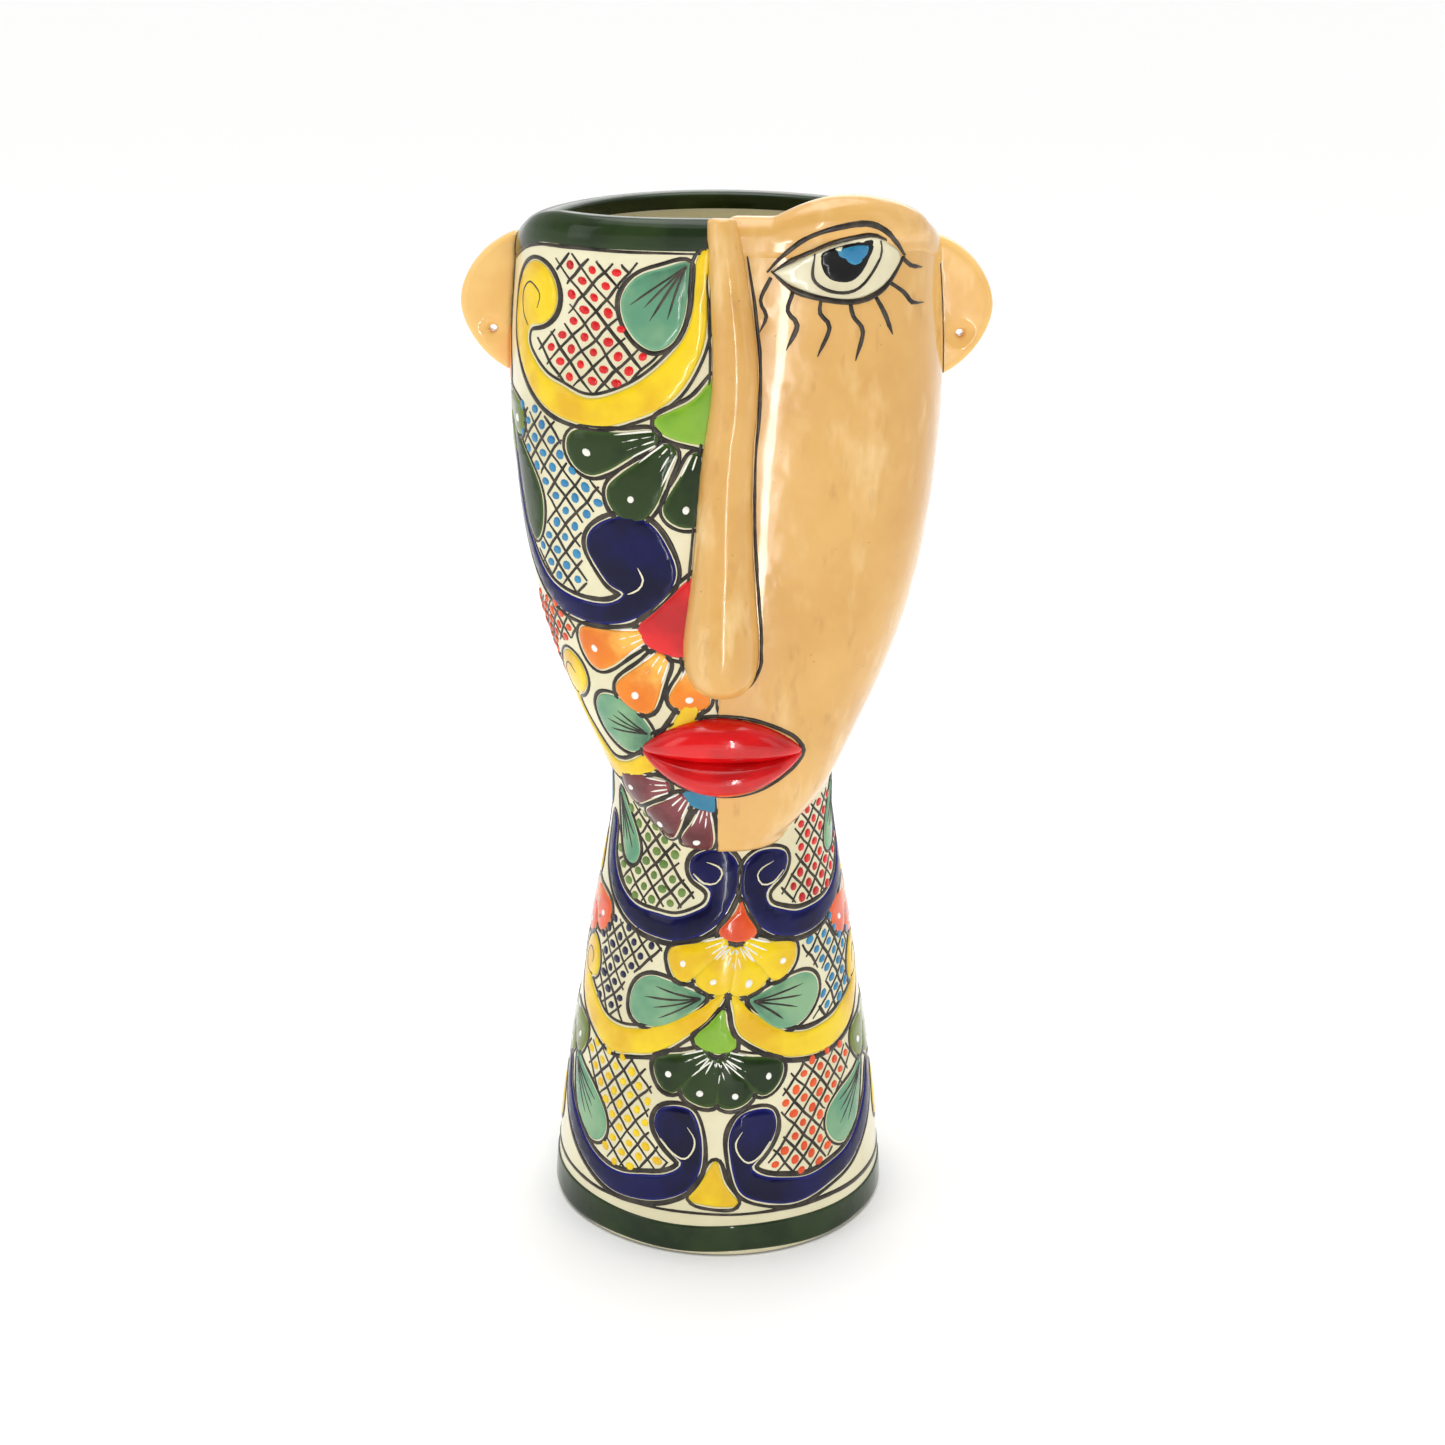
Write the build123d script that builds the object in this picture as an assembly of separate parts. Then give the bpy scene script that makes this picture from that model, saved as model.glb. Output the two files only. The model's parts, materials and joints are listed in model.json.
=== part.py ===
from build123d import *
import math
import os

# Face vase in glazed earthenware, hand built from luted clay pieces.
# The origin is the centre of the foot, on the table. +Z is up and the face looks along -Y.
# All sizes are in millimetres.

# Overall sizes
rim_height = 430.0          # back and sides of the mouth above the table
chin_height = 183.0         # lowest point of the chin above the table
head_half_width = 86.0      # at the ears
front_reach = 72.0          # from the axis to the cheeks and chin
back_reach = 82.0           # from the axis to the back of the head
foot_radius = 72.6
neck_radius = 46.5          # at the waist, just under the head

# Clay thickness
wall = 7.0                  # head
neck_wall = 7.0
floor_thickness = 8.0
lip_wall = 8.6              # the rim coil is a little thicker than the wall under it

# Rim
lip_rise = 12.0             # the lip of the face stands this much above the rest of the mouth
rise_start = -10.0          # the lip starts to climb here, going forward
rise_end = -50.0            # and is level again from here
rim_band = 14.0             # height of the rim coil
lip_round = 3.4             # radius of its two top edges

# Neck and collar
waist_height = 187.0        # the cone ends here and the straight collar starts
collar_rise = 23.0          # the collar goes this far up into the head, from the chin's height

# Nose, from the rim to the bulb
nose_bottom = 257.5
nose_top_half = 5.8
nose_bulb_half = 14.4
nose_top_proud = 6.2
nose_bulb_proud = 17.0

# Lips
mouth_height = 231.0        # the mouth line at its corners
mouth_half_width = 32.0
mouth_sag = 2.6
upper_lip_height = 17.5
lower_lip_height = 14.0
lip_proud = 9.0
mouth_gap = 0.3             # groove between the two lips
lip_taper = 0.85            # a lip's height falls off towards its corners with this power
lip_flatten = 0.6           # and how far it stands out falls off with this power of its height

# Brow coil on the rim over the eye
brow_start = 13.0
brow_end = 74.0
brow_arch = 5.5             # its middle line rises this much above its ends' line
brow_radius = 8.8
brow_sink = 5.0             # its middle line's ends lie this far under the lip
brow_flatness = 0.96        # its height as a share of its width

# Ears
ear_below_rim = 31.0        # from the rim down to the ears' middle
ear_half_height = 30.0
ear_reach = 21.0            # beyond the side of the head
ear_thickness = 8.0
ear_edge_round = 2.4
ear_set_back = -8.0         # middle of the slab, along Y
ear_hole_radius = 2.0
ear_hole_inset = 12.5       # from the ear's outer edge
ear_hole_drop = 10.0        # below the ear's centre
dimple_radius = 6.0
dimple_depth = 1.2

section_points = 24         # round the head, for each level's outline
oval_points = 12            # round a nose, lip or brow section
bury = 12.0                 # how far a slab runs into the head before it is trimmed
beyond = 200.0              # half length of the trimming solids

# The ears lie against the rim coil, so they follow the rim.
ear_centre_height = rim_height - ear_below_rim

# Levels of the head, from the chin up. Each has its height as a share of the head's height,
# then shares of the half width, of the front reach and of the back reach, the place of the
# widest point as a share of the front reach, and how square the front is (2 is round).
head_levels = [
    (0.000, 0.180, 0.890, 0.500, 0.560, 2.3),
    (0.024, 0.305, 0.945, 0.530, 0.500, 2.4),
    (0.053, 0.403, 0.980, 0.560, 0.420, 2.4),
    (0.093, 0.500, 0.993, 0.585, 0.320, 2.5),
    (0.150, 0.595, 1.000, 0.650, 0.220, 2.5),
    (0.231, 0.712, 1.000, 0.730, 0.130, 2.5),
    (0.332, 0.830, 1.000, 0.817, 0.070, 2.6),
    (0.474, 0.930, 0.986, 0.915, 0.040, 2.8),
    (0.636, 0.988, 0.972, 0.975, 0.015, 2.9),
    (0.798, 1.000, 0.958, 1.000, 0.000, 3.0),
    (1.000, 0.960, 0.930, 1.000, 0.000, 3.0),
    (1.120, 0.935, 0.915, 0.990, 0.000, 3.0),
]

# Outline of the neck cone: share of the waist's height, share from the waist's radius to the foot's.
neck_outline = [(0.0, 1.0), (0.19, 0.893), (0.46, 0.61), (0.722, 0.32), (1.0, 0.0)]
end_pull = 0.6              # how strongly its upright ends hold the curve


def head_size_at(height):
    """Half width, front y, back y, widest y and squareness of the head at a height."""
    share = (height - chin_height) / (rim_height - chin_height)
    share = min(max(share, head_levels[0][0]), head_levels[-1][0])
    for low, high in zip(head_levels, head_levels[1:]):
        if share <= high[0]:
            t = (share - low[0]) / (high[0] - low[0])
            row = [a + (b - a) * t for a, b in zip(low, high)]
            return level_sizes(row)
    return level_sizes(head_levels[-1])


def level_sizes(row):
    """Sizes in millimetres of one row of head_levels."""
    return (row[1] * head_half_width, -row[2] * front_reach, row[3] * back_reach,
            -row[4] * front_reach, row[5])


def outline_point(angle, half, front, back, middle, square):
    """A point of a level's outline: angle 0 is +X, -90 degrees is the front."""
    c, s = math.cos(angle), math.sin(angle)
    if s < 0:
        x = math.copysign(abs(c) ** (2 / square), c) * half
        return x, middle + (front - middle) * abs(s) ** (2 / square)
    return c * half, middle + (back - middle) * s


def level_wire(height, inset, sizes):
    """Closed outline of the head at a height, moved inwards by the inset."""
    half, front, back, middle, square = sizes
    points = []
    for i in range(section_points):
        angle = math.pi / 2 + 2 * math.pi * i / section_points
        x, y = outline_point(angle, half - inset, front + inset, back - inset, middle, square)
        points.append((x, y, height))
    return Wire([Edge.make_spline(points, periodic=True)])


def head_form(inset=0.0):
    """The head as a closed form, moved inwards by the inset; the floor thickens to match."""
    wires = []
    for row in head_levels:
        sizes = level_sizes(row)
        if inset and sizes[0] < 2.2 * inset:
            continue
        height = chin_height + row[0] * (rim_height - chin_height) + inset * (1 - row[1])
        wires.append(level_wire(height, inset, sizes))
    return Solid.make_loft(wires)


def neck_form(inset=0.0):
    """The cone and its straight collar as a closed form, moved inwards by the inset."""
    spread = foot_radius - neck_radius
    points = [(neck_radius + r * spread - inset, h * waist_height) for h, r in neck_outline]
    top = chin_height + collar_rise
    waist = neck_radius - inset
    side = Spline([Vector(r, 0, z) for r, z in points], tangents=[(0, 0, 1), (0, 0, 1)],
                  tangent_scalars=[end_pull, end_pull])
    rest = Polyline([(waist, 0, waist_height), (waist, 0, top), (0, 0, top), (0, 0, 0),
                     (points[0][0], 0, 0)])
    face = make_face(Wire([side] + rest.edges()))
    return revolve(face, Axis.Z)


def below_lip(drop=0.0):
    """Everything under the mouth's edge, which climbs from the sides to the face."""
    back_z, face_z = rim_height - drop, rim_height + lip_rise - drop
    middle = (rise_start + rise_end) / 2
    climb = Bezier((0, rise_start, back_z), (0, middle, back_z), (0, middle, face_z), (0, rise_end, face_z))
    rest = Polyline([(0, rise_end, face_z), (0, -beyond, face_z), (0, -beyond, -1), (0, beyond, -1),
                     (0, beyond, back_z), (0, rise_start, back_z)])
    face = make_face(Wire([climb] + rest.edges()))
    return extrude(face, amount=beyond, dir=(1, 0, 0), both=True)


def lip_height_at(y):
    """Height of the mouth's edge at a place along Y."""
    t = min(max((rise_start - y) / (rise_start - rise_end), 0), 1)
    return rim_height + lip_rise * t * t * (3 - 2 * t)


def face_y(x, height):
    """Y of the front of the head at a place across it."""
    half, front, _, middle, square = head_size_at(height)
    share = min(abs(x) / half, 0.999)
    return middle + (front - middle) * (1 - share ** square) ** (1 / square)


def oval(plane, across, up):
    """A closed oval outline on a plane."""
    points = []
    for i in range(oval_points):
        angle = 2 * math.pi * i / oval_points
        points.append(plane.from_local_coords(Vector(across * math.cos(angle), up * math.sin(angle), 0)))
    return Wire([Edge.make_spline(points, periodic=True)])


def bead(stations):
    """A tapering roll of clay through (centre, direction, radius across, radius up) stations."""
    wires = []
    for centre, along, across, up in stations:
        outward = Vector(along).cross(Vector(0, 0, 1)).normalized()
        wires.append(oval(Plane(origin=centre, x_dir=outward, z_dir=along), across, up))
    return Solid.make_loft(wires)


def make_brow():
    """The brow: a coil that arches over the rim above the eye."""
    shares = [0.0, 0.16, 0.36, 0.56, 0.76, 0.91, 1.0]
    swell = [0.42, 0.68, 0.92, 1.0, 0.95, 0.76, 0.5]
    centres = []
    for share in shares:
        x = brow_start + share * (brow_end - brow_start)
        y = face_y(x, rim_height) + lip_wall / 2
        ends = lip_height_at(y) - brow_sink
        centres.append((x, y, ends + brow_arch * math.sin(math.pi * share)))
    stations = []
    for i, (centre, size) in enumerate(zip(centres, swell)):
        before, after = centres[max(i - 1, 0)], centres[min(i + 1, len(centres) - 1)]
        along = (after[0] - before[0], after[1] - before[1], 0)
        stations.append((centre, along, brow_radius * size, brow_radius * size * brow_flatness))
    return bead(stations)


def make_nose():
    """The nose: a half-round strip from the rim that swells to a bulb."""
    length = rim_height + lip_rise - nose_bottom
    rows = [  # height as a share of the length, place across, swell from the top's size to the bulb's
        (0.00, -0.5, 0.08), (0.04, -0.7, 0.83), (0.10, -0.8, 1.00), (0.18, -0.6, 0.87),
        (0.32, -0.2, 0.60), (0.53, 1.2, 0.40), (0.78, 2.6, 0.22), (1.02, 4.0, 0.00),
    ]
    wires = []
    for share, across, swell in rows:
        height = nose_bottom + share * length
        half = nose_top_half + (nose_bulb_half - nose_top_half) * swell
        proud = nose_top_proud + (nose_bulb_proud - nose_top_proud) * swell
        plane = Plane(origin=(across, face_y(across, height), height), x_dir=(1, 0, 0), z_dir=(0, 0, 1))
        wires.append(oval(plane, half, proud))
    return Solid.make_loft(wires)


def make_lip(height, side):
    """One lip: side is 1 for the upper, -1 for the lower."""
    stations = []
    for share in (-0.985, -0.85, -0.6, -0.3, 0.0, 0.3, 0.6, 0.85, 0.985):
        x = share * mouth_half_width
        full = (1 - share * share) ** lip_taper
        line = mouth_height - mouth_sag * (1 - share * share)
        half = height / 2 * full
        centre_z = line + side * (half + mouth_gap / 2)
        centre = (x, face_y(x, centre_z), centre_z)
        stations.append((centre, (1, 0, 0), lip_proud * full ** lip_flatten, half))
    return bead(stations)


def make_ear():
    """The ear at -X: a rounded slab that faces forward, pierced near its edge."""
    edge_x = head_size_at(ear_centre_height)[0]
    tip_x = edge_x + ear_reach
    low, high = ear_centre_height - ear_half_height, ear_centre_height + ear_half_height
    outline = [(edge_x - bury, high), (edge_x + 0.36 * ear_reach, high - 0.2 * ear_half_height),
               (edge_x + 0.84 * ear_reach, high - 0.58 * ear_half_height),
               (tip_x, ear_centre_height + 0.03 * ear_half_height),
               (edge_x + 0.78 * ear_reach, low + 0.56 * ear_half_height),
               (edge_x + 0.3 * ear_reach, low + 0.2 * ear_half_height), (edge_x - bury, low)]
    curve = Spline([Vector(-x, 0, z) for x, z in outline])
    root = Line(curve @ 1, curve @ 0)
    slab = extrude(make_face(Wire([curve, root])), amount=ear_thickness / 2, dir=(0, 1, 0), both=True)
    rims = [e for e in slab.edges() if abs(e.center().X) > edge_x - bury / 2]
    slab = fillet(rims, ear_edge_round)
    hole_x = ear_hole_inset - tip_x
    hole_z = ear_centre_height - ear_hole_drop
    slab -= Pos(hole_x, 0, hole_z) * Rot(90, 0, 0) * Cylinder(ear_hole_radius, 2 * ear_thickness)
    ball = (dimple_radius ** 2 + dimple_depth ** 2) / (2 * dimple_depth)
    out = ear_thickness / 2 + ball - dimple_depth
    slab -= Pos(hole_x, -out, hole_z) * Sphere(ball)
    return Pos(0, ear_set_back, 0) * slab


def save(shape, name):
    """Write one piece, as one solid."""
    solids = shape.solids()
    biggest = max(solids, key=lambda s: s.volume)
    print(name, "solids", len(solids), "volume", round(biggest.volume))
    biggest.label = name
    export_step(biggest, "parts/" + name + ".step")


os.makedirs("parts", exist_ok=True)

outside = head_form()
inside = head_form(wall)
neck_outside = neck_form()
neck_inside = neck_form(neck_wall)

shell = outside - inside - neck_outside
head_bowl = shell & below_lip(rim_band)
neck_cone = neck_outside - neck_inside
floor_disc = neck_inside & Pos(0, 0, floor_thickness / 2) * Box(beyond, beyond, floor_thickness)

under_edge = below_lip()
brow = make_brow() - (outside & under_edge)
ring = (outside - head_form(lip_wall)) & (under_edge - below_lip(rim_band))
top_edges = [e for e in ring.edges() if e.center().Z > rim_height - 1]
ring = fillet(top_edges, lip_round)

nose = (make_nose() & below_lip(-1.0)) - outside
upper_lip = make_lip(upper_lip_height, 1) - outside
lower_lip = make_lip(lower_lip_height, -1) - outside
ear = make_ear() - outside

save(floor_disc, "foot_disc")
save(neck_cone, "neck_cone")
save(head_bowl, "head_bowl")
save(ring - brow, "rim_coil")
save(brow - ring, "brow_coil")
save(nose, "nose_strip")
save(upper_lip, "upper_lip")
save(lower_lip, "lower_lip")
save(ear, "painted_side_ear")
save(mirror(ear, about=Plane.YZ), "tan_side_ear")
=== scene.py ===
import json
import math
import random
import bpy
import numpy as np
from mathutils import Matrix, Vector
from mathutils.bvhtree import BVHTree

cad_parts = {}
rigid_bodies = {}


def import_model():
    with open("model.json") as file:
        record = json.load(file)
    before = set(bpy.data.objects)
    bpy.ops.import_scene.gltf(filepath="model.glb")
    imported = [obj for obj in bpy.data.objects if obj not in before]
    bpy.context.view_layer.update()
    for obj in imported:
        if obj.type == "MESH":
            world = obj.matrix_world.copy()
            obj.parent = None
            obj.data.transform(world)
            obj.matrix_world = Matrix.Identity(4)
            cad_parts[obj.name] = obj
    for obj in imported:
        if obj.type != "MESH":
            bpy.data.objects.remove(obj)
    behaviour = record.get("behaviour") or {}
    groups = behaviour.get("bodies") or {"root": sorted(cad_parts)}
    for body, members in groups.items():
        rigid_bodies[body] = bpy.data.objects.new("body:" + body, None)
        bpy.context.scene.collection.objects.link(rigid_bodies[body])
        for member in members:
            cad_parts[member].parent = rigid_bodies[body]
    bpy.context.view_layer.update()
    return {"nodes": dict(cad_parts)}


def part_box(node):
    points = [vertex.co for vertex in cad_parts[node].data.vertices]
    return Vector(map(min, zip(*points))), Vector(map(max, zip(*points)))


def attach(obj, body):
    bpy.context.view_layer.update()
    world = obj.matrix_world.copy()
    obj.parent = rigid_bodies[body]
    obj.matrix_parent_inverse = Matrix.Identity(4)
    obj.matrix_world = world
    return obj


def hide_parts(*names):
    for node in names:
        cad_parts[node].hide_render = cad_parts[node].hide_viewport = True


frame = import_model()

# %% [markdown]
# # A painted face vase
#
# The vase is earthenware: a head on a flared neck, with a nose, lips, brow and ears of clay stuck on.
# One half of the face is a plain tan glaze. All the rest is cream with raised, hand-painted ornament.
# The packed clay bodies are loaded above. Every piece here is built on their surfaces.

MM = 0.001
nodes = frame["nodes"]
luck = random.Random(7)
print("clay bodies:", sorted(nodes))


def deselect():
    """Nothing selected and object mode, so that an operator acts only on the new piece."""
    if bpy.context.mode != "OBJECT":
        bpy.ops.object.mode_set(mode="OBJECT")
    bpy.ops.object.select_all(action="DESELECT")


def pick(obj):
    """Make this the only selected and active object."""
    deselect()
    obj.select_set(True)
    bpy.context.view_layer.objects.active = obj


def points_of(obj):
    """The vertices of an object, in metres, as an array."""
    flat = np.zeros(len(obj.data.vertices) * 3, np.float32)
    obj.data.vertices.foreach_get("co", flat)
    return flat.reshape(-1, 3).astype(float)


def move_points(obj, where):
    """Put the vertices of an object at new places, in metres."""
    obj.data.vertices.foreach_set("co", np.asarray(where, np.float32).ravel())
    obj.data.update()


# %% [markdown]
# ## Camera
#
# The vase is seen from a little above its mouth, face on, with a long lens.
# The camera is placed by its distance, its height and its downward tilt, as on a tripod.
# A very small roll stands for the slight lean that the hand-built vase has.

# %% Camera
CAMERA_BACK = 1060.4 * MM
CAMERA_HIGH = 616.6 * MM
TILT_DOWN = math.radians(20.62)
ROLL = math.radians(0.58)
LENS = 66.24                 # mm, on a sensor 36 mm wide

camera_data = bpy.data.cameras.new("camera")
camera_data.lens = LENS
camera_data.sensor_width = 36
camera = bpy.data.objects.new("camera", camera_data)
bpy.context.scene.collection.objects.link(camera)
camera.location = (0, -CAMERA_BACK, CAMERA_HIGH)
camera.rotation_mode = "XYZ"
look = Vector((0, math.cos(TILT_DOWN), -math.sin(TILT_DOWN)))
turn = look.to_track_quat("-Z", "Y").to_matrix()
camera.rotation_euler = (turn @ Matrix.Rotation(ROLL, 3, "Z")).to_euler()
bpy.context.scene.camera = camera
print("camera", round(CAMERA_BACK, 3), "m back and", round(CAMERA_HIGH, 3), "m up")

# %% [markdown]
# ## Floor and light
#
# The room is plain: a white floor that runs on behind, and soft boxes.
# One low, narrow, upright box in front gives the streaks that a glossy glaze shows.
# Two wide boxes fill the sides, one lights the back, and one hangs over the vase.
# A soft light from the whole ceiling keeps the floor even as far as it runs. The room is dimmer in
# front of the vase than behind it, so that the dark glazes stay deep.

# %% Floor
bpy.ops.object.select_all(action="DESELECT")
bpy.ops.mesh.primitive_plane_add(size=600, location=(0, 0, 0))
floor = bpy.context.object
floor.name = "floor"
floor_paint = bpy.data.materials.new("floor_paint")
floor_paint.use_nodes = True
floor_shader = floor_paint.node_tree.nodes["Principled BSDF"]
floor_shader.inputs["Base Color"].default_value = (0.93, 0.93, 0.925, 1)
floor_shader.inputs["Roughness"].default_value = 0.9
floor.data.materials.append(floor_paint)
print("floor", round(floor.dimensions.x), "m across")

# %% [markdown]
# The ceiling light comes almost straight down and is very wide, so the shadow under the vase is soft.

# %% Lights
ROOM_DARK = 0.30             # strength of the room's light in front of the vase
ROOM_BRIGHT = 0.88           # and behind the vase
world = bpy.data.worlds.new("room")
bpy.context.scene.world = world
world.use_nodes = True
world.node_tree.nodes["Background"].inputs["Color"].default_value = (1, 1, 1, 1)
room = world.node_tree
facing = room.nodes.new("ShaderNodeTexCoord")
split = room.nodes.new("ShaderNodeSeparateXYZ")
room.links.new(facing.outputs["Generated"], split.inputs["Vector"])
dim = room.nodes.new("ShaderNodeMapRange")
dim.interpolation_type = "SMOOTHSTEP"
dim.inputs["From Min"].default_value = -0.5
dim.inputs["From Max"].default_value = 0.35
dim.inputs["To Min"].default_value = ROOM_DARK
dim.inputs["To Max"].default_value = ROOM_BRIGHT
room.links.new(split.outputs["Y"], dim.inputs["Value"])
room.links.new(dim.outputs["Result"], room.nodes["Background"].inputs["Strength"])
bpy.context.scene.view_settings.view_transform = "Standard"


def soft_box(name, place, aim, wide, tall, watts):
    """A rectangular light that faces a point."""
    data = bpy.data.lights.new(name, "AREA")
    data.shape = "RECTANGLE"
    data.size = wide
    data.size_y = tall
    data.energy = watts
    light = bpy.data.objects.new(name, data)
    bpy.context.scene.collection.objects.link(light)
    light.location = place
    light.rotation_mode = "QUATERNION"
    light.rotation_quaternion = (Vector(aim) - Vector(place)).to_track_quat("-Z", "Y")
    return light


soft_box("overhead_box", (-0.2, -0.3, 1.9), (0, 0, 0.2), 1.0, 1.0, 5)
soft_box("left_box", (-1.5, -1.0, 0.9), (0, 0, 0.25), 0.7, 1.4, 5)
soft_box("right_box", (1.5, -0.8, 0.9), (0, 0, 0.25), 0.6, 1.4, 2.4)
soft_box("streak_box", (0.10, -0.85, 0.25), (0.03, 0, 0.3), 0.03, 0.45, 1.5)
soft_box("back_box", (0.3, 1.6, 1.2), (0, 0, 0.25), 1.2, 1.0, 5)
sky_data = bpy.data.lights.new("ceiling", "SUN")
sky_data.energy = 1.4
sky_data.angle = math.radians(50)
ceiling = bpy.data.objects.new("ceiling", sky_data)
bpy.context.scene.collection.objects.link(ceiling)
ceiling.location = (0, 0, 3)
ceiling.rotation_euler = (math.radians(-8), 0, 0)

# %% [markdown]
# ## Glazes
#
# A glaze is coloured glass. Its colour is deeper where it pooled and paler where it ran thin,
# and its skin is smooth with a slow ripple. So each glaze mixes its colour by soft noise at two
# scales, by how near the edge of a patch a place is, and along a petal or leaf.
# The ripple is a faint bump. The gloss is set on the shader's own sockets.

# %% Glaze maker


def new_material(name):
    """A node material, its tree and its shader."""
    material = bpy.data.materials.new(name)
    material.use_nodes = True
    tree = material.node_tree
    return material, tree, tree.nodes["Principled BSDF"]


def noise_node(tree, scale, detail, stretch=(1, 1, 1), seed=0.0):
    """Soft noise in the vase's own space; scale is in bumps per metre."""
    where = tree.nodes.new("ShaderNodeTexCoord")
    turn_node = tree.nodes.new("ShaderNodeMapping")
    turn_node.inputs["Scale"].default_value = stretch
    turn_node.inputs["Location"].default_value = (seed, seed * 0.7, seed * 1.3)
    noise = tree.nodes.new("ShaderNodeTexNoise")
    noise.inputs["Scale"].default_value = scale
    noise.inputs["Detail"].default_value = detail
    noise.inputs["Roughness"].default_value = 0.55
    tree.links.new(where.outputs["Object"], turn_node.inputs["Vector"])
    tree.links.new(turn_node.outputs["Vector"], noise.inputs["Vector"])
    return noise.outputs["Fac"]


def ramp_node(tree, source, stops):
    """A colour ramp; stops are (place, value or colour)."""
    ramp = tree.nodes.new("ShaderNodeValToRGB")
    ramp.color_ramp.interpolation = "EASE"
    while len(ramp.color_ramp.elements) < len(stops):
        ramp.color_ramp.elements.new(0.5)
    for element, (place, colour) in zip(ramp.color_ramp.elements, stops):
        element.position = place
        shade = colour if isinstance(colour, tuple) else (colour, colour, colour)
        element.color = (*shade, 1)
    tree.links.new(source, ramp.inputs["Fac"])
    return ramp.outputs["Color"]


def mix_node(tree, factor, first, second, mode="MIX"):
    """Mix two colours; factor is a socket or a number."""
    mix = tree.nodes.new("ShaderNodeMix")
    mix.data_type = "RGBA"
    mix.blend_type = mode
    for socket, value in ((mix.inputs[0], factor), (mix.inputs[6], first), (mix.inputs[7], second)):
        if isinstance(value, (int, float)):
            socket.default_value = value
        elif isinstance(value, tuple):
            socket.default_value = (*value, 1)
        else:
            tree.links.new(value, socket)
    return mix.outputs[2]


def attribute_node(tree, name):
    """A number stored on the mesh, such as how far in from the edge a place is."""
    node = tree.nodes.new("ShaderNodeAttribute")
    node.attribute_name = name
    return node.outputs["Fac"]


def linear(colour):
    """A colour as the eye names it, 0 to 255, turned to the renderer's linear values."""
    out = []
    for c in colour:
        c = c / 255
        out.append(c / 12.92 if c <= 0.04045 else ((c + 0.055) / 1.055) ** 2.4)
    return tuple(out)


def ripple(tree, shader, fine=0.10, slow=0.25):
    """The faint ripple of a brushed glaze, as bump."""
    slow_noise = noise_node(tree, 60, 2, seed=3)
    fine_noise = noise_node(tree, 420, 2, seed=9)
    first = tree.nodes.new("ShaderNodeBump")
    first.inputs["Strength"].default_value = slow
    first.inputs["Distance"].default_value = 0.0015
    tree.links.new(slow_noise, first.inputs["Height"])
    second = tree.nodes.new("ShaderNodeBump")
    second.inputs["Strength"].default_value = fine
    second.inputs["Distance"].default_value = 0.0004
    tree.links.new(fine_noise, second.inputs["Height"])
    tree.links.new(first.outputs["Normal"], second.inputs["Normal"])
    tree.links.new(second.outputs["Normal"], shader.inputs["Normal"])


def glaze(name, thin, body, pooled, rough=0.16, coat=0.25, blotch=38, root=None, shine=0.32):
    """A glossy glaze: thin at patch edges, body colour, and pooled in soft blotches.
    With a root colour it changes along a petal or leaf, from root to tip."""
    material, tree, shader = new_material(name)
    clouds = noise_node(tree, blotch, 3, seed=len(name))
    cloudy = ramp_node(tree, clouds, [(0.36, 0.0), (0.66, 1.0)])
    colour = mix_node(tree, cloudy, linear(body), linear(pooled))
    if root:
        along = attribute_node(tree, "along")
        streaks = noise_node(tree, 190, 2, seed=2)
        broken = mix_node(tree, 0.35, along, streaks)
        blend = ramp_node(tree, broken, [(0.18, 0.0), (0.62, 1.0)])
        colour = mix_node(tree, blend, linear(root), colour)
    edge = attribute_node(tree, "edge")
    rim = ramp_node(tree, edge, [(0.0, 1.0), (0.55, 0.0)])
    colour = mix_node(tree, rim, colour, linear(thin))
    tree.links.new(colour, shader.inputs["Base Color"])
    uneven = ramp_node(tree, noise_node(tree, 90, 3, seed=5), [(0.3, rough * 0.75), (0.75, rough * 1.6)])
    tree.links.new(uneven, shader.inputs["Roughness"])
    shader.inputs["Coat Weight"].default_value = coat
    shader.inputs["Coat Roughness"].default_value = 0.04
    shader.inputs["Specular IOR Level"].default_value = shine
    ripple(tree, shader)
    return material


yellow_glaze = glaze("yellow_glaze", (226, 196, 40), (246, 212, 8), (228, 178, 0))
cobalt_glaze = glaze("cobalt_glaze", (30, 34, 122), (12, 12, 76), (6, 6, 44), coat=0.16, shine=0.16)
pine_glaze = glaze("pine_glaze", (70, 96, 44), (42, 62, 24), (28, 46, 16), coat=0.16, shine=0.18)
mint_glaze = glaze("mint_glaze", (120, 180, 140), (136, 178, 134), (92, 150, 116), root=(70, 118, 90))
leaf_green_glaze = glaze("leaf_green_glaze", (150, 190, 60), (134, 182, 44), (104, 158, 34))
olive_glaze = glaze("olive_glaze", (124, 140, 40), (104, 124, 32), (84, 104, 26))
orange_glaze = glaze("orange_glaze", (238, 150, 40), (242, 138, 10), (226, 112, 4), root=(248, 196, 84))
flame_glaze = glaze("flame_glaze", (240, 120, 60), (238, 92, 34), (220, 70, 22), root=(250, 150, 90))
red_glaze = glaze("red_glaze", (226, 50, 44), (226, 16, 20), (188, 6, 12), coat=0.4)
maroon_glaze = glaze("maroon_glaze", (126, 60, 60), (104, 30, 34), (80, 18, 24), root=(140, 70, 74))
cyan_glaze = glaze("cyan_glaze", (66, 146, 176), (52, 136, 166), (34, 108, 142))
navy_glaze = glaze("navy_glaze", (40, 40, 84), (24, 24, 66), (14, 14, 44))
sky_glaze = glaze("sky_glaze", (90, 160, 196), (54, 140, 186), (38, 118, 168))
moss_glaze = glaze("moss_glaze", (150, 170, 100), (120, 150, 74), (98, 130, 58))
white_glaze = glaze("white_glaze", (246, 244, 232), (250, 249, 242), (240, 238, 224))
eye_white_glaze = glaze("eye_white_glaze", (226, 218, 186), (230, 222, 188), (214, 204, 168))
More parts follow.
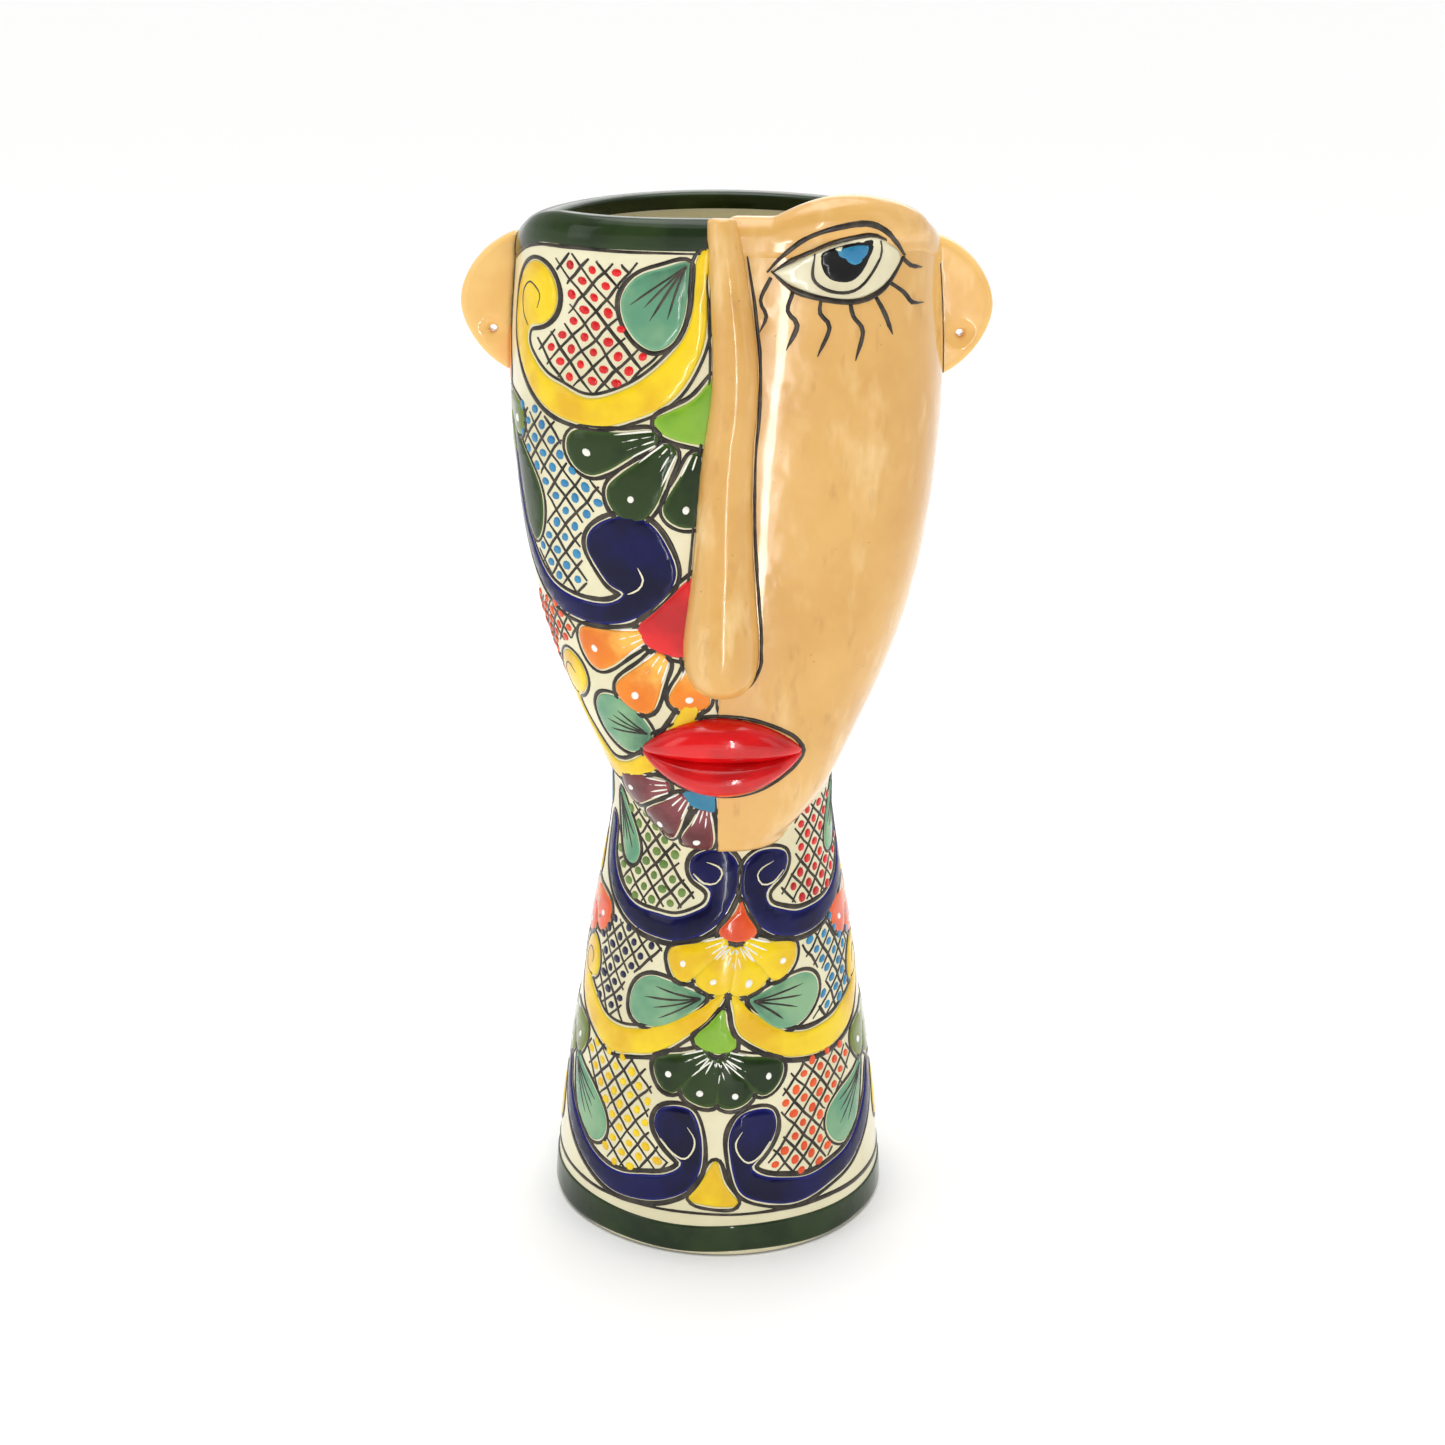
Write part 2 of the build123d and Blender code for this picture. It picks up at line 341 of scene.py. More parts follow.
eye_blue_glaze = glaze("eye_blue_glaze", (50, 140, 176), (36, 128, 172), (30, 112, 158))
ear_glaze = glaze("ear_glaze", (252, 210, 136), (248, 202, 122), (238, 186, 104), blotch=30)
black_glaze = glaze("black_glaze", (26, 24, 26), (14, 13, 15), (8, 8, 9), coat=0.16, shine=0.16)
cream_glaze = glaze("cream_glaze", (230, 223, 188), (236, 229, 194), (224, 216, 178), blotch=24)
base_green_glaze = glaze("base_green_glaze", (64, 84, 44), (42, 60, 28), (28, 44, 20), coat=0.2, shine=0.18)
print("glazes:", len(bpy.data.materials))

# %% [markdown]
# The tan half has no ornament, so its glaze has to carry the surface by itself.
# On the real clay it is a warm ochre with paler clouds, darker brushed drifts and a few hair-thin
# brown scratches where the clay drags through. Bare clay is dry, pinkish brown and gritty.

# %% Tan glaze and bare clay
tan_glaze, tan_tree, tan_shader = new_material("tan_glaze")
tan_clouds = ramp_node(tan_tree, noise_node(tan_tree, 17, 4, seed=1), [(0.34, 0.0), (0.68, 1.0)])
tan_colour = mix_node(tan_tree, tan_clouds, linear((228, 180, 104)), linear((214, 162, 86)))
tan_strokes = noise_node(tan_tree, 30, 3, (2.4, 2.4, 1), seed=4)
tan_drift = ramp_node(tan_tree, tan_strokes, [(0.52, 0.0), (0.80, 1.0)])
tan_colour = mix_node(tan_tree, tan_drift, tan_colour, linear((238, 200, 136)))
tan_dirt = ramp_node(tan_tree, noise_node(tan_tree, 55, 6, (3.0, 3.0, 1), seed=6), [(0.56, 0.0), (0.82, 0.5)])
tan_colour = mix_node(tan_tree, tan_dirt, tan_colour, linear((178, 128, 68)))
tan_specks = ramp_node(tan_tree, noise_node(tan_tree, 520, 2, seed=8), [(0.74, 0.0), (0.79, 0.7)])
tan_colour = mix_node(tan_tree, tan_specks, tan_colour, linear((120, 78, 42)))
tan_tree.links.new(tan_colour, tan_shader.inputs["Base Color"])
tan_gloss = ramp_node(tan_tree, noise_node(tan_tree, 70, 3, seed=5), [(0.3, 0.14), (0.75, 0.27)])
tan_tree.links.new(tan_gloss, tan_shader.inputs["Roughness"])
tan_shader.inputs["Specular IOR Level"].default_value = 0.35
tan_shader.inputs["Coat Weight"].default_value = 0.35
tan_shader.inputs["Coat Roughness"].default_value = 0.05
ripple(tan_tree, tan_shader, fine=0.12, slow=0.45)

bare_clay, clay_tree, clay_shader = new_material("bare_clay")
clay_clouds = ramp_node(clay_tree, noise_node(clay_tree, 60, 5, seed=2), [(0.3, 0.0), (0.75, 1.0)])
clay_colour = mix_node(clay_tree, clay_clouds, linear((196, 150, 116)), linear((158, 112, 82)))
clay_tree.links.new(clay_colour, clay_shader.inputs["Base Color"])
clay_shader.inputs["Roughness"].default_value = 0.88
ripple(clay_tree, clay_shader, fine=0.6, slow=0.3)

brush_glaze, brush_tree, brush_shader = new_material("brush_line_glaze")
brush_clouds = ramp_node(brush_tree, noise_node(brush_tree, 140, 4, seed=3), [(0.35, 0.0), (0.72, 1.0)])
brush_colour = mix_node(brush_tree, brush_clouds, linear((40, 35, 30)), linear((76, 68, 58)))
brush_tree.links.new(brush_colour, brush_shader.inputs["Base Color"])
brush_shader.inputs["Roughness"].default_value = 0.24
brush_shader.inputs["Specular IOR Level"].default_value = 0.2
brush_shader.inputs["Coat Weight"].default_value = 0.15
brush_shader.inputs["Coat Roughness"].default_value = 0.06
ripple(brush_tree, brush_shader)
print("finishes:", sorted(m.name for m in bpy.data.materials)[:6], "and more")

# %% [markdown]
# ## The two forms
#
# Ornament is laid on the clay, so the script first has to know the clay's outside exactly.
# Each form is felt with rays from outside towards the axis, at every height and angle, which gives
# a chart of how far out the wall stands. A slow wobble of a third of a millimetre stands for the
# potter's hand. The chart also gives the distance round the form at each height, so ornament can be
# drawn flat, in millimetres round from the front and millimetres above the table.

# %% Forms
TURN = math.pi
STEP_ANGLE = math.radians(1.5)
STEP_UP = 1.0 * MM
RAY_START = 0.2              # metres from the axis, clear of every body
RAY_LENGTH = 0.162           # stops before the far wall
SHARES = 721                 # entries in the table that turns a way round into an angle


def turned_out(angle, radius, height):
    """Points from an angle round the axis, a distance from it and a height."""
    return np.stack([radius * np.sin(angle), -radius * np.cos(angle), height], -1)


class Form:
    """The outside of a clay body, as a chart over angle (0 is the front, + towards +X) and height."""

    def __init__(self, names, low, high, inner_radius):
        spots, faces = [], []
        for name in names:
            mesh = nodes[name].data
            start = len(spots)
            spots += [v.co.copy() for v in mesh.vertices]
            faces += [[start + i for i in p.vertices] for p in mesh.polygons]
        tree = BVHTree.FromPolygons(spots, faces)
        self.heights = np.arange(low, high, STEP_UP)
        self.angles = np.linspace(-TURN, TURN, int(round(2 * TURN / STEP_ANGLE)) + 1)
        chart = np.zeros((len(self.heights), len(self.angles)))
        for row, height in enumerate(self.heights):
            for column, angle in enumerate(self.angles):
                outward = Vector((math.sin(angle), -math.cos(angle), 0))
                start = outward * RAY_START + Vector((0, 0, height))
                place = tree.ray_cast(start, -outward, RAY_LENGTH)[0]
                if place is not None:
                    chart[row, column] = math.hypot(place.x, place.y)
                elif row:
                    chart[row, column] = chart[row - 1, column]
                else:
                    chart[row, column] = inner_radius
        for _ in range(3):
            ring = np.concatenate([chart[:, -2:-1], chart, chart[:, 1:2]], 1)
            chart = (ring[:, :-2] + 2 * chart + ring[:, 2:]) / 4
            chart[1:-1] = (chart[:-2] + 2 * chart[1:-1] + chart[2:]) / 4
        a, h = np.meshgrid(self.angles, self.heights)
        wobble = (0.16 * np.sin(3 * a + 25 * h) + 0.13 * np.sin(5 * a - 37 * h + 1)
                  + 0.12 * np.sin(2 * a + 60 * h))
        self.chart = chart + MM * wobble

    def measure(self):
        """Distance round from the front at each height, and its inverse."""
        x = self.chart * np.sin(self.angles)
        y = -self.chart * np.cos(self.angles)
        steps = np.hypot(np.diff(x, axis=1), np.diff(y, axis=1))
        run = np.concatenate([np.zeros((len(x), 1)), np.cumsum(steps, 1)], 1)
        middle = len(self.angles) // 2
        run -= run[:, middle:middle + 1]
        self.half = run[:, -1]
        shares = np.linspace(-1, 1, SHARES)
        self.unroll = np.array([np.interp(shares, r / h, self.angles) for r, h in zip(run, self.half)])
        return self

    def read(self, table, u, row):
        """A value between the entries of a table."""
        u = np.clip(u, 0, table.shape[1] - 1.001)
        row = np.clip(row, 0, table.shape[0] - 1.001)
        c, r = u.astype(int), row.astype(int)
        du, dr = u - c, row - r
        return ((table[r, c] * (1 - du) + table[r, c + 1] * du) * (1 - dr)
                + (table[r + 1, c] * (1 - du) + table[r + 1, c + 1] * du) * dr)

    def row(self, height):
        """The chart's row for a height in metres."""
        return (np.asarray(height, float) - self.heights[0]) / STEP_UP

    def radius(self, angle, height):
        """How far out the wall stands, in metres."""
        angle = (np.asarray(angle, float) + TURN) % (2 * TURN)
        return self.read(self.chart, angle / STEP_ANGLE, self.row(height))

    def half_girth(self, height):
        """Half the way round at a height in millimetres, in millimetres."""
        return np.interp(np.asarray(height, float) * MM, self.heights, self.half) / MM

    def angle_at(self, round_mm, height_mm):
        """The angle of a place given by its way round from the front."""
        share = np.asarray(round_mm, float) / self.half_girth(height_mm)
        share = (share + 1) % 2 - 1
        column = (share + 1) * (SHARES // 2)
        return self.read(self.unroll, column, self.row(np.asarray(height_mm, float) * MM))

    def point(self, angle, height, lift=0.0):
        """A point on the form, lifted off it along its normal, all in metres."""
        def raw(a, h):
            return turned_out(a, self.radius(a, h), h)
        angle, height = np.asarray(angle, float), np.asarray(height, float)
        across = raw(angle + 0.03, height) - raw(angle - 0.03, height)
        up = raw(angle, height + 0.0015) - raw(angle, height - 0.0015)
        normal = np.cross(across, up)
        normal /= np.linalg.norm(normal, axis=-1, keepdims=True)
        return raw(angle, height) + normal * np.asarray(lift, float)[..., None]

    def lay(self, round_mm, height_mm, lift_mm):
        """The same, from millimetres round, millimetres up and millimetres of lift."""
        angle = self.angle_at(round_mm, height_mm)
        return self.point(angle, np.asarray(height_mm, float) * MM, np.asarray(lift_mm, float) * MM)


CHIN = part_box("head_bowl")[0].z / MM
JAW_ROUND = 7.0              # mm: the jaw turns under in this height
NECK_WAIST = 46.5 * MM       # radius where the neck goes up into the head
HEAD_TOP = 447 * MM          # just over the face's lip
JAW_HOLE = 45 * MM           # radius where the jaw closes on the neck
neck = Form(["neck_cone"], 0.001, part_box("neck_cone")[1].z - 0.001, NECK_WAIST).measure()
head = Form(["head_bowl", "rim_coil"], CHIN * MM, HEAD_TOP, 44 * MM)
jaw_row = int(JAW_ROUND)
for row in range(jaw_row):
    swell = math.sqrt(max(0.0, 1 - ((jaw_row - row) / JAW_ROUND) ** 2))
    head.chart[row] = JAW_HOLE + (head.chart[jaw_row] - JAW_HOLE) * swell
head.measure()
print("way round the head at 400 mm:", round(float(2 * head.half_girth(400))), "mm")
print("way round the neck at 100 mm:", round(float(2 * neck.half_girth(100))), "mm")

# %% [markdown]
# ## Head and neck walls
#
# Each is a wall of clay 7 mm thick, open at both ends. A plane grid is the start: its long way wraps
# round the form, and its short way goes up the outside, over the edge and down the inside.
# The meeting edges are then merged, which closes the wall like a hose.

# %% Walls
WALL = 7.0 * MM
RIM_LOW, RIM_HIGH = 0.430, 0.442            # the mouth's edge behind, and over the face
RISE_START, RISE_END = -0.010, -0.050       # it climbs between these places along Y
NECK_HOLE = 39.8 * MM                       # radius of the way down into the neck
EDGE_IN = 4.3 * MM                          # from the outside to the middle of the rim coil
FEEL_RIM = 0.43                             # height at which the head's size is felt for its edge


def lip_height(angle, radius):
    """Height of the mouth's edge: it climbs from the sides to the face."""
    y = -np.cos(angle) * (radius - EDGE_IN)
    t = np.clip((RISE_START - y) / (RISE_START - RISE_END), 0, 1)
    return RIM_LOW + (RIM_HIGH - RIM_LOW) * t * t * (3 - 2 * t)


def wrapped_grid(name, columns, rows, place):
    """A grid whose vertices go where place(u, v) says; u and v run from 0 to 1."""
    deselect()
    bpy.ops.mesh.primitive_grid_add(x_subdivisions=columns, y_subdivisions=rows, size=2)
    sheet = bpy.context.object
    sheet.name = name
    sheet.data.name = name
    flat = points_of(sheet)
    move_points(sheet, place((flat[:, 0] + 1) / 2, (flat[:, 1] + 1) / 2))
    return sheet


def close_up(sheet, fill=False):
    """Merge the meeting edges, fill open ends if asked, and turn the faces outwards."""
    pick(sheet)
    bpy.ops.object.mode_set(mode="EDIT")
    bpy.ops.mesh.select_all(action="SELECT")
    bpy.ops.mesh.remove_doubles(threshold=0.000005)
    if fill:
        bpy.ops.mesh.fill_holes(sides=0)
        bpy.ops.mesh.select_all(action="SELECT")
    bpy.ops.mesh.normals_make_consistent(inside=False)
    bpy.ops.object.mode_set(mode="OBJECT")


def store(obj, name, values):
    """Keep one number per vertex on the mesh, for its glaze to read."""
    attribute = obj.data.attributes.get(name) or obj.data.attributes.new(name, "FLOAT", "POINT")
    full = np.broadcast_to(np.asarray(values, np.float32), (len(obj.data.vertices),))
    attribute.data.foreach_set("value", np.ascontiguousarray(full))


def finish_piece(obj, material, stands_for=None):
    """Smooth shading, a glaze, and a place on the vase."""
    pick(obj)
    bpy.ops.object.shade_smooth()
    obj.data.materials.clear()
    obj.data.materials.append(material)
    for name in ("edge", "along"):
        if name not in obj.data.attributes:
            store(obj, name, 1.0)
    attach(obj, "root")
    if stands_for:
        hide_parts(stands_for)
    print(obj.name, len(obj.data.polygons), "faces")


HOLLOW_LOW = 197 * MM        # the head's hollow goes down to here


def head_edge(angle):
    """Height of the mouth's edge at an angle."""
    return lip_height(angle, head.radius(angle, np.full_like(angle, FEEL_RIM)))


def head_skin(angle, share):
    """Radius and height outside the head, from under the jaw (share 0) to near the lip (1)."""
    under = 0.06
    start = (CHIN + JAW_ROUND) * MM
    at_jaw = head.radius(angle, np.full_like(angle, start))
    t = np.clip(share / under, 0, 1) * math.pi / 2
    low_r = JAW_HOLE + (at_jaw - JAW_HOLE) * np.sin(t)
    low_z = start - JAW_ROUND * MM * np.cos(t)
    top = head_edge(angle) - 3 * MM
    high_z = start + (top - start) * np.clip((share - under) / (1 - under), 0, 1)
    high_r = head.radius(angle, high_z)
    is_under = share < under
    return np.where(is_under, low_r, high_r), np.where(is_under, low_z, high_z)


def head_wall(u, v):
    """Outside up, inside down, back to the start."""
    angle = (2 * u - 1) * TURN
    outside, inside_to = 0.58, 0.96
    r, z = head_skin(angle, np.clip(v / outside, 0, 1))
    t = np.clip((v - outside) / (inside_to - outside), 0, 1)
    top = head_edge(angle) - 5 * MM
    in_z = top + (HOLLOW_LOW - top) * t
    in_r = np.maximum(head.radius(angle, in_z) - WALL, NECK_HOLE)
    last = np.clip((v - inside_to) / (1 - inside_to), 0, 1)
    in_r = np.where(last > 0, in_r + (JAW_HOLE - in_r) * last, in_r)
    in_z = np.where(last > 0, in_z + (CHIN * MM - in_z) * last, in_z)
    outer = v <= outside
    return turned_out(angle, np.where(outer, r, in_r), np.where(outer, z, in_z))


def neck_wall(u, v):
    """Outside up, over the edge, inside down to the table, and back out."""
    angle = (2 * u - 1) * TURN
    outside, edge, inside_to = 0.55, 0.6, 0.96
    low, high = 0.6 * MM, 203 * MM
    foot_soft = 1.2 * MM
    up = np.clip(v / outside, 0, 1)
    down = np.clip((v - edge) / (inside_to - edge), 0, 1)
    back = np.clip((v - inside_to) / (1 - inside_to), 0, 1)
    z = np.where(v < edge, low + (high - low) * up, high + (low - high) * down)
    r = neck.radius(angle, np.maximum(z, 2 * low))
    foot_round = foot_soft * np.clip(1 - z / (2.5 * MM), 0, 1) ** 2
    over = np.clip((v - outside) / (edge - outside), 0, 1)
    r = np.where(v < edge, r - foot_round - WALL * over, r - WALL)
    r = np.where(v > inside_to, r + (WALL - foot_soft) * back, r)
    return turned_out(angle, r, z)


head_shell = wrapped_grid("head_shell", 240, 230, head_wall)
close_up(head_shell)
finish_piece(head_shell, cream_glaze, "head_bowl")
neck_shell = wrapped_grid("neck_shell", 200, 150, neck_wall)
close_up(neck_shell)
finish_piece(neck_shell, cream_glaze, "neck_cone")

foot = nodes["foot_disc"]
foot.data.materials.clear()
foot.data.materials.append(bare_clay)
print("walls", round(WALL / MM, 1), "mm thick on a bare clay foot")

# %% [markdown]
# ## Rim
#
# A thick coil of clay makes the mouth's edge. It is green round the back and the painted side.
# Its section is a soft-cornered upright oval, swept round the head at the height of the lip.
# A grid wraps it too: its short way goes round the section.

# %% Green rim
COIL = 8.6 * MM              # how thick the coil is
INNER_BAND = 2.4 * MM        # half the height of its glaze on the inside of the mouth


def coil_wall(first, last, high, puff):
    """A place function for a stretch of rim coil, between two angles in degrees."""
    def place(u, v):
        angle = np.radians(first + (last - first) * u)
        r_out = head.radius(angle, np.full_like(angle, 0.428))
        top = lip_height(angle, r_out) + puff
        around = 2 * math.pi * v
        c, s = np.cos(around), np.sin(around)
        half_wide, half_high = COIL / 2 + puff, high / 2 + puff
        soft = np.where(s > 0, 0.72, 0.45)
        across = half_wide * np.sign(c) * np.abs(c) ** soft
        up = half_high * np.sign(s) * np.abs(s) ** soft
        inward = np.abs(np.clip(c, -1, 0)) ** 0.35
        half_here = np.where(c > 0, half_high, half_high + (INNER_BAND - half_high) * inward)
        z = top - half_here + up * half_here / half_high
        r_here = head.radius(angle, np.minimum(z, top - 2 * MM))
        return turned_out(angle, r_here - COIL / 2 + across, z)
    return place


green_rim = wrapped_grid("green_rim", 220, 26, coil_wall(93, 366, 12 * MM, 0.45 * MM))
close_up(green_rim, fill=True)
finish_piece(green_rim, base_green_glaze, "rim_coil")

# %% [markdown]
# ## Tan side of the face
#
# The tan glaze covers the front of the head from the nose's line to the ear, and it is thick enough
# to stand a little proud. A grid is laid on the head there and given its thickness with Solidify.
# Over it the tan rim and the brow are one roll of clay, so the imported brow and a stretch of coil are
# joined, remeshed into one skin and smoothed, as a wet finger would.

# %% Tan face
TAN_FROM, TAN_TO = -1.2, 92.0        # degrees round, just past the middle line and at the ear


def tan_place(u, v):
    """The tan half: from just past the middle line to the ear, from under the jaw to the lip."""
    angle = np.radians(TAN_FROM + (TAN_TO - TAN_FROM) * u)
    radius, height = head_skin(angle, 0.012 + 0.988 * v)
    lift = 0.45 * MM
    return turned_out(angle, radius + lift, height - np.where(v < 0.05, lift, 0))


def modify(obj, kind, **settings):
    """Add a modifier to the picked object, set it and apply it."""
    bpy.ops.object.modifier_add(type=kind)
    modifier = obj.modifiers[-1]
    for name, value in settings.items():
        setattr(modifier, name, value)
    bpy.ops.object.modifier_apply(modifier=modifier.name)


tan_face = wrapped_grid("tan_face", 110, 190, tan_place)
pick(tan_face)
modify(tan_face, "SOLIDIFY", thickness=0.9 * MM, offset=-1)
close_up(tan_face)
finish_piece(tan_face, tan_glaze)

# %% [markdown]
# Hand-rolled clay has no sharp edge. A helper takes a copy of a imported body, remeshes it into one even
# skin and rubs it smooth. Smoothing shrinks a body, so the skin is then swelled a little.

# %% Soft clay helper


def clay_copy(node, name):
    """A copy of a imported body, its loose triangles merged."""
    copy = bpy.data.objects.new(name, nodes[node].data.copy())
    bpy.context.scene.collection.objects.link(copy)
    copy.data.name = name
    pick(copy)
    bpy.ops.object.mode_set(mode="EDIT")
    bpy.ops.mesh.select_all(action="SELECT")
    bpy.ops.mesh.remove_doubles(threshold=0.000002)
    bpy.ops.object.mode_set(mode="OBJECT")
    if "custom_normal" in copy.data.attributes or copy.data.has_custom_normals:
        bpy.ops.mesh.customdata_custom_splitnormals_clear()
    return copy


def soften(obj, voxel, passes, puff):
    """Remesh into one skin, rub it smooth, and swell it a little."""
    pick(obj)
    modify(obj, "REMESH", mode="VOXEL", voxel_size=voxel)
    modify(obj, "SMOOTH", factor=0.5, iterations=passes)
    normals = np.zeros(len(obj.data.vertices) * 3, np.float32)
    obj.data.vertices.foreach_get("normal", normals)
    move_points(obj, points_of(obj) + normals.reshape(-1, 3) * puff)


print("soft clay takes bodies such as", sorted(nodes)[0])

# %% [markdown]
# The brow is a fat roll that melts into the rim at both of its ends. Joining the two before the remesh
# gives that melted seam, which two separate pieces could not.

# %% Tan brow and rim
tan_rim = wrapped_grid("tan_rim", 90, 26, coil_wall(1.0, TAN_TO + 3, 13 * MM, 0.8 * MM))
close_up(tan_rim, fill=True)
tan_brow = clay_copy("brow_coil", "tan_brow")
deselect()
tan_rim.select_set(True)
tan_brow.select_set(True)
bpy.context.view_layer.objects.active = tan_brow
bpy.ops.object.join()
soften(tan_brow, 1.0 * MM, 10, 0.7 * MM)
finish_piece(tan_brow, tan_glaze, "brow_coil")

# %% [markdown]
# ## Nose, lips and ears
#
# Each was shaped by hand and luted on, so it has no hard edge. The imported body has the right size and
# place. A copy is remeshed into even quads, rubbed smooth, and swelled by half a millimetre,
# which is about what the glaze adds.

# %% Nose, lips and ears
for node, name, voxel, passes, puff, coat_of, slot in (
        ("nose_strip", "nose", 1.0, 9, 0.7, tan_glaze, "tan_glaze"),
        ("upper_lip", "upper_lip_glazed", 0.6, 10, 0.7, red_glaze, "red_glaze"),
        ("lower_lip", "lower_lip_glazed", 0.6, 10, 0.7, red_glaze, "red_glaze"),
        ("painted_side_ear", "ear_on_painted_side", 0.8, 6, 0.4, ear_glaze, "tan_glaze"),
        ("tan_side_ear", "ear_on_tan_side", 0.8, 6, 0.4, ear_glaze, "tan_glaze")):
    part = clay_copy(node, name)
    soften(part, voxel * MM, passes, puff * MM)
    finish_piece(part, coat_of, node)

# %% [markdown]
# ## Green foot band
#
# The foot is dipped in green up to a hand-drawn edge that wanders by a few millimetres.
# A sliver of bare clay is left where the vase stands. The band is one more wrapped grid.

# %% Foot band


def band_top(angle):
    """Height of the green band's upper edge, in metres."""
    return MM * (15.8 + 1.9 * np.sin(angle - 2.3) + 1.0 * np.sin(2 * angle + 0.6) + 0.5 * np.sin(5 * angle))


def band_place(u, v):
    """Up the outside of the band and back down just inside the wall."""
    angle = (2 * u - 1) * TURN
    outer = v < 0.5
    t = np.where(outer, v / 0.5, (1 - v) / 0.5)
    low = MM * (1.9 + 0.5 * np.sin(3 * angle + 1) + 0.4 * np.sin(7 * angle))
    z = low + (band_top(angle) - low) * t
    rounded = np.clip(np.minimum(t, 1 - t) / 0.06, 0, 1) ** 0.5
    lift = np.where(outer, 0.05 + 0.5 * rounded, -0.5) * MM
    return neck.point(angle, z, lift)


foot_band = wrapped_grid("green_foot_band", 220, 30, band_place)
close_up(foot_band)
finish_piece(foot_band, base_green_glaze)

# %% [markdown]
# ## How the ornament is laid on
#
# A painter draws dark outlines first, then floods each cell with thick glaze that stands up from the
# clay like a cushion. So every coloured patch is a real, slightly raised piece, with a thin cream gap
# and a dark line round it. A patch is cut flat: a filled circle takes the drawn outline, its rim is
# inset so that it can slope, and straight cuts divide it so that it can bend. Then it is laid on the
# form. The distance from its edge is kept on the mesh, for its glaze to thin out there.

# %% Drawing helpers
PATCH_HIGH = 0.55            # mm that a flooded patch stands up
UNDER = -0.35                # mm that every patch and line reaches into the wall


def curve_span(a, b, c, d, step):
    """Points of a smooth line from b up to c, in even steps of about this many mm."""
    pieces = max(1, int(round(np.linalg.norm(c - b) / step)))
    out = []
    for k in range(pieces):
        t = k / pieces
        out.append(0.5 * (2 * b + (c - a) * t + (2 * a - 5 * b + 4 * c - d) * t * t
                          + (3 * b - a - 3 * c + d) * t ** 3))
    return out


def closed_curve(corners, step=1.9):
    """A smooth closed line through a few corners."""
    p = np.array(corners, float)
    count = len(p)
    out = []
    for i in range(count):
        out += curve_span(p[i - 1], p[i], p[(i + 1) % count], p[(i + 2) % count], step)
    return np.array(out)


def open_curve(corners, step=2.0):
    """A smooth open line through a few corners."""
    p = np.array(corners, float)
    p = np.vstack([2 * p[0] - p[1], p, 2 * p[-1] - p[-2]])
    out = []
    for i in range(1, len(p) - 2):
        out += curve_span(p[i - 1], p[i], p[i + 1], p[i + 2], step)
    out.append(p[-2])
    return np.array(out)


def area_of(outline):
    """Twice the signed area: positive when the outline runs anticlockwise."""
    x, y = outline[:, 0], outline[:, 1]
    return float(np.sum(x * np.roll(y, -1) - np.roll(x, -1) * y))


def far_from_edge(spots, outline):
    """Distance of each spot to the nearest side of an outline."""
    a, b = outline, np.roll(outline, -1, 0)
    side = b - a
    t = ((spots[:, None] - a) * side).sum(-1) / np.maximum((side * side).sum(-1), 1e-9)
    near = a + side * np.clip(t, 0, 1)[..., None]
    return np.linalg.norm(spots[:, None] - near, axis=-1).min(1)


def inside(spots, outline):
    """Which spots lie inside an outline."""
    x, y = spots[:, 0:1], spots[:, 1:2]
    x0, y0 = outline[:, 0], outline[:, 1]
    x1, y1 = np.roll(x0, -1), np.roll(y0, -1)
    crosses = (y0 > y) != (y1 > y)
    at = x0 + (y - y0) * (x1 - x0) / np.where(y1 == y0, 1e-9, y1 - y0)
    return (crosses & (x < at)).sum(1) % 2 == 1


def cut_patch(corners, rim=0.8, cell=4.0, root=None, tip=None):
    """A flat patch cut to an outline: its points, faces, lift, and what its glaze reads."""
    outline = closed_curve(corners)
    if area_of(outline) < 0:
        outline = outline[::-1]
    deselect()
    bpy.ops.mesh.primitive_circle_add(vertices=len(outline), radius=1, fill_type="NGON")
    flat = bpy.context.object
    flip = flat.data.polygons[0].normal.z < 0
    places = points_of(flat)
    turning = area_of(places[:, :2]) < 0
    ring = outline[::-1] if turning else outline
    move_points(flat, np.column_stack([ring, np.zeros(len(ring))]))
    bpy.ops.object.mode_set(mode="EDIT")
    bpy.ops.mesh.select_all(action="SELECT")
    if flip != turning:
        bpy.ops.mesh.flip_normals()
    bpy.ops.mesh.inset(thickness=rim, depth=0)
    low, high = outline.min(0), outline.max(0)
    for axis in (0, 1):
        for cut in np.arange(low[axis] + cell / 2, high[axis], cell):
            spot = [0, 0, 0]
            spot[axis] = float(cut)
            bpy.ops.mesh.select_all(action="SELECT")
            bpy.ops.mesh.bisect(plane_co=spot, plane_no=(1 - axis, axis, 0), threshold=0.0001)
    bpy.ops.object.mode_set(mode="OBJECT")
    top = points_of(flat)[:, :2]
    count = len(top)
    depth = far_from_edge(top, outline)
    modify(flat, "SOLIDIFY", thickness=1, offset=-1)
    spots = points_of(flat)
    faces = [tuple(p.vertices) for p in flat.data.polygons]
    mesh = flat.data
    bpy.data.objects.remove(flat)
    bpy.data.meshes.remove(mesh)
    lift = np.full(len(spots), UNDER)
    lift[:count] = 0.08 + PATCH_HIGH * (1 - np.exp(-depth / (0.75 * rim)))
    edge = np.zeros(len(spots))
    edge[:count] = np.clip(depth / 2.4, 0, 1)
    along = np.ones(len(spots))
    if root:
        axis = np.array(tip, float) - root
        along = np.clip(((spots[:, :2] - root) @ axis) / (axis @ axis), 0, 1)
    return {"spots": spots[:, :2], "lift": lift, "faces": faces, "edge": edge, "along": along,
            "outline": outline}


bins = {}


def keep(bin_name, where, faces, edge, along, mirrored=False):
    """Put a laid shape with the others of its colour."""
    if mirrored:
        faces = [f[::-1] for f in faces]
    bins.setdefault(bin_name, []).append((where, faces, edge, along))


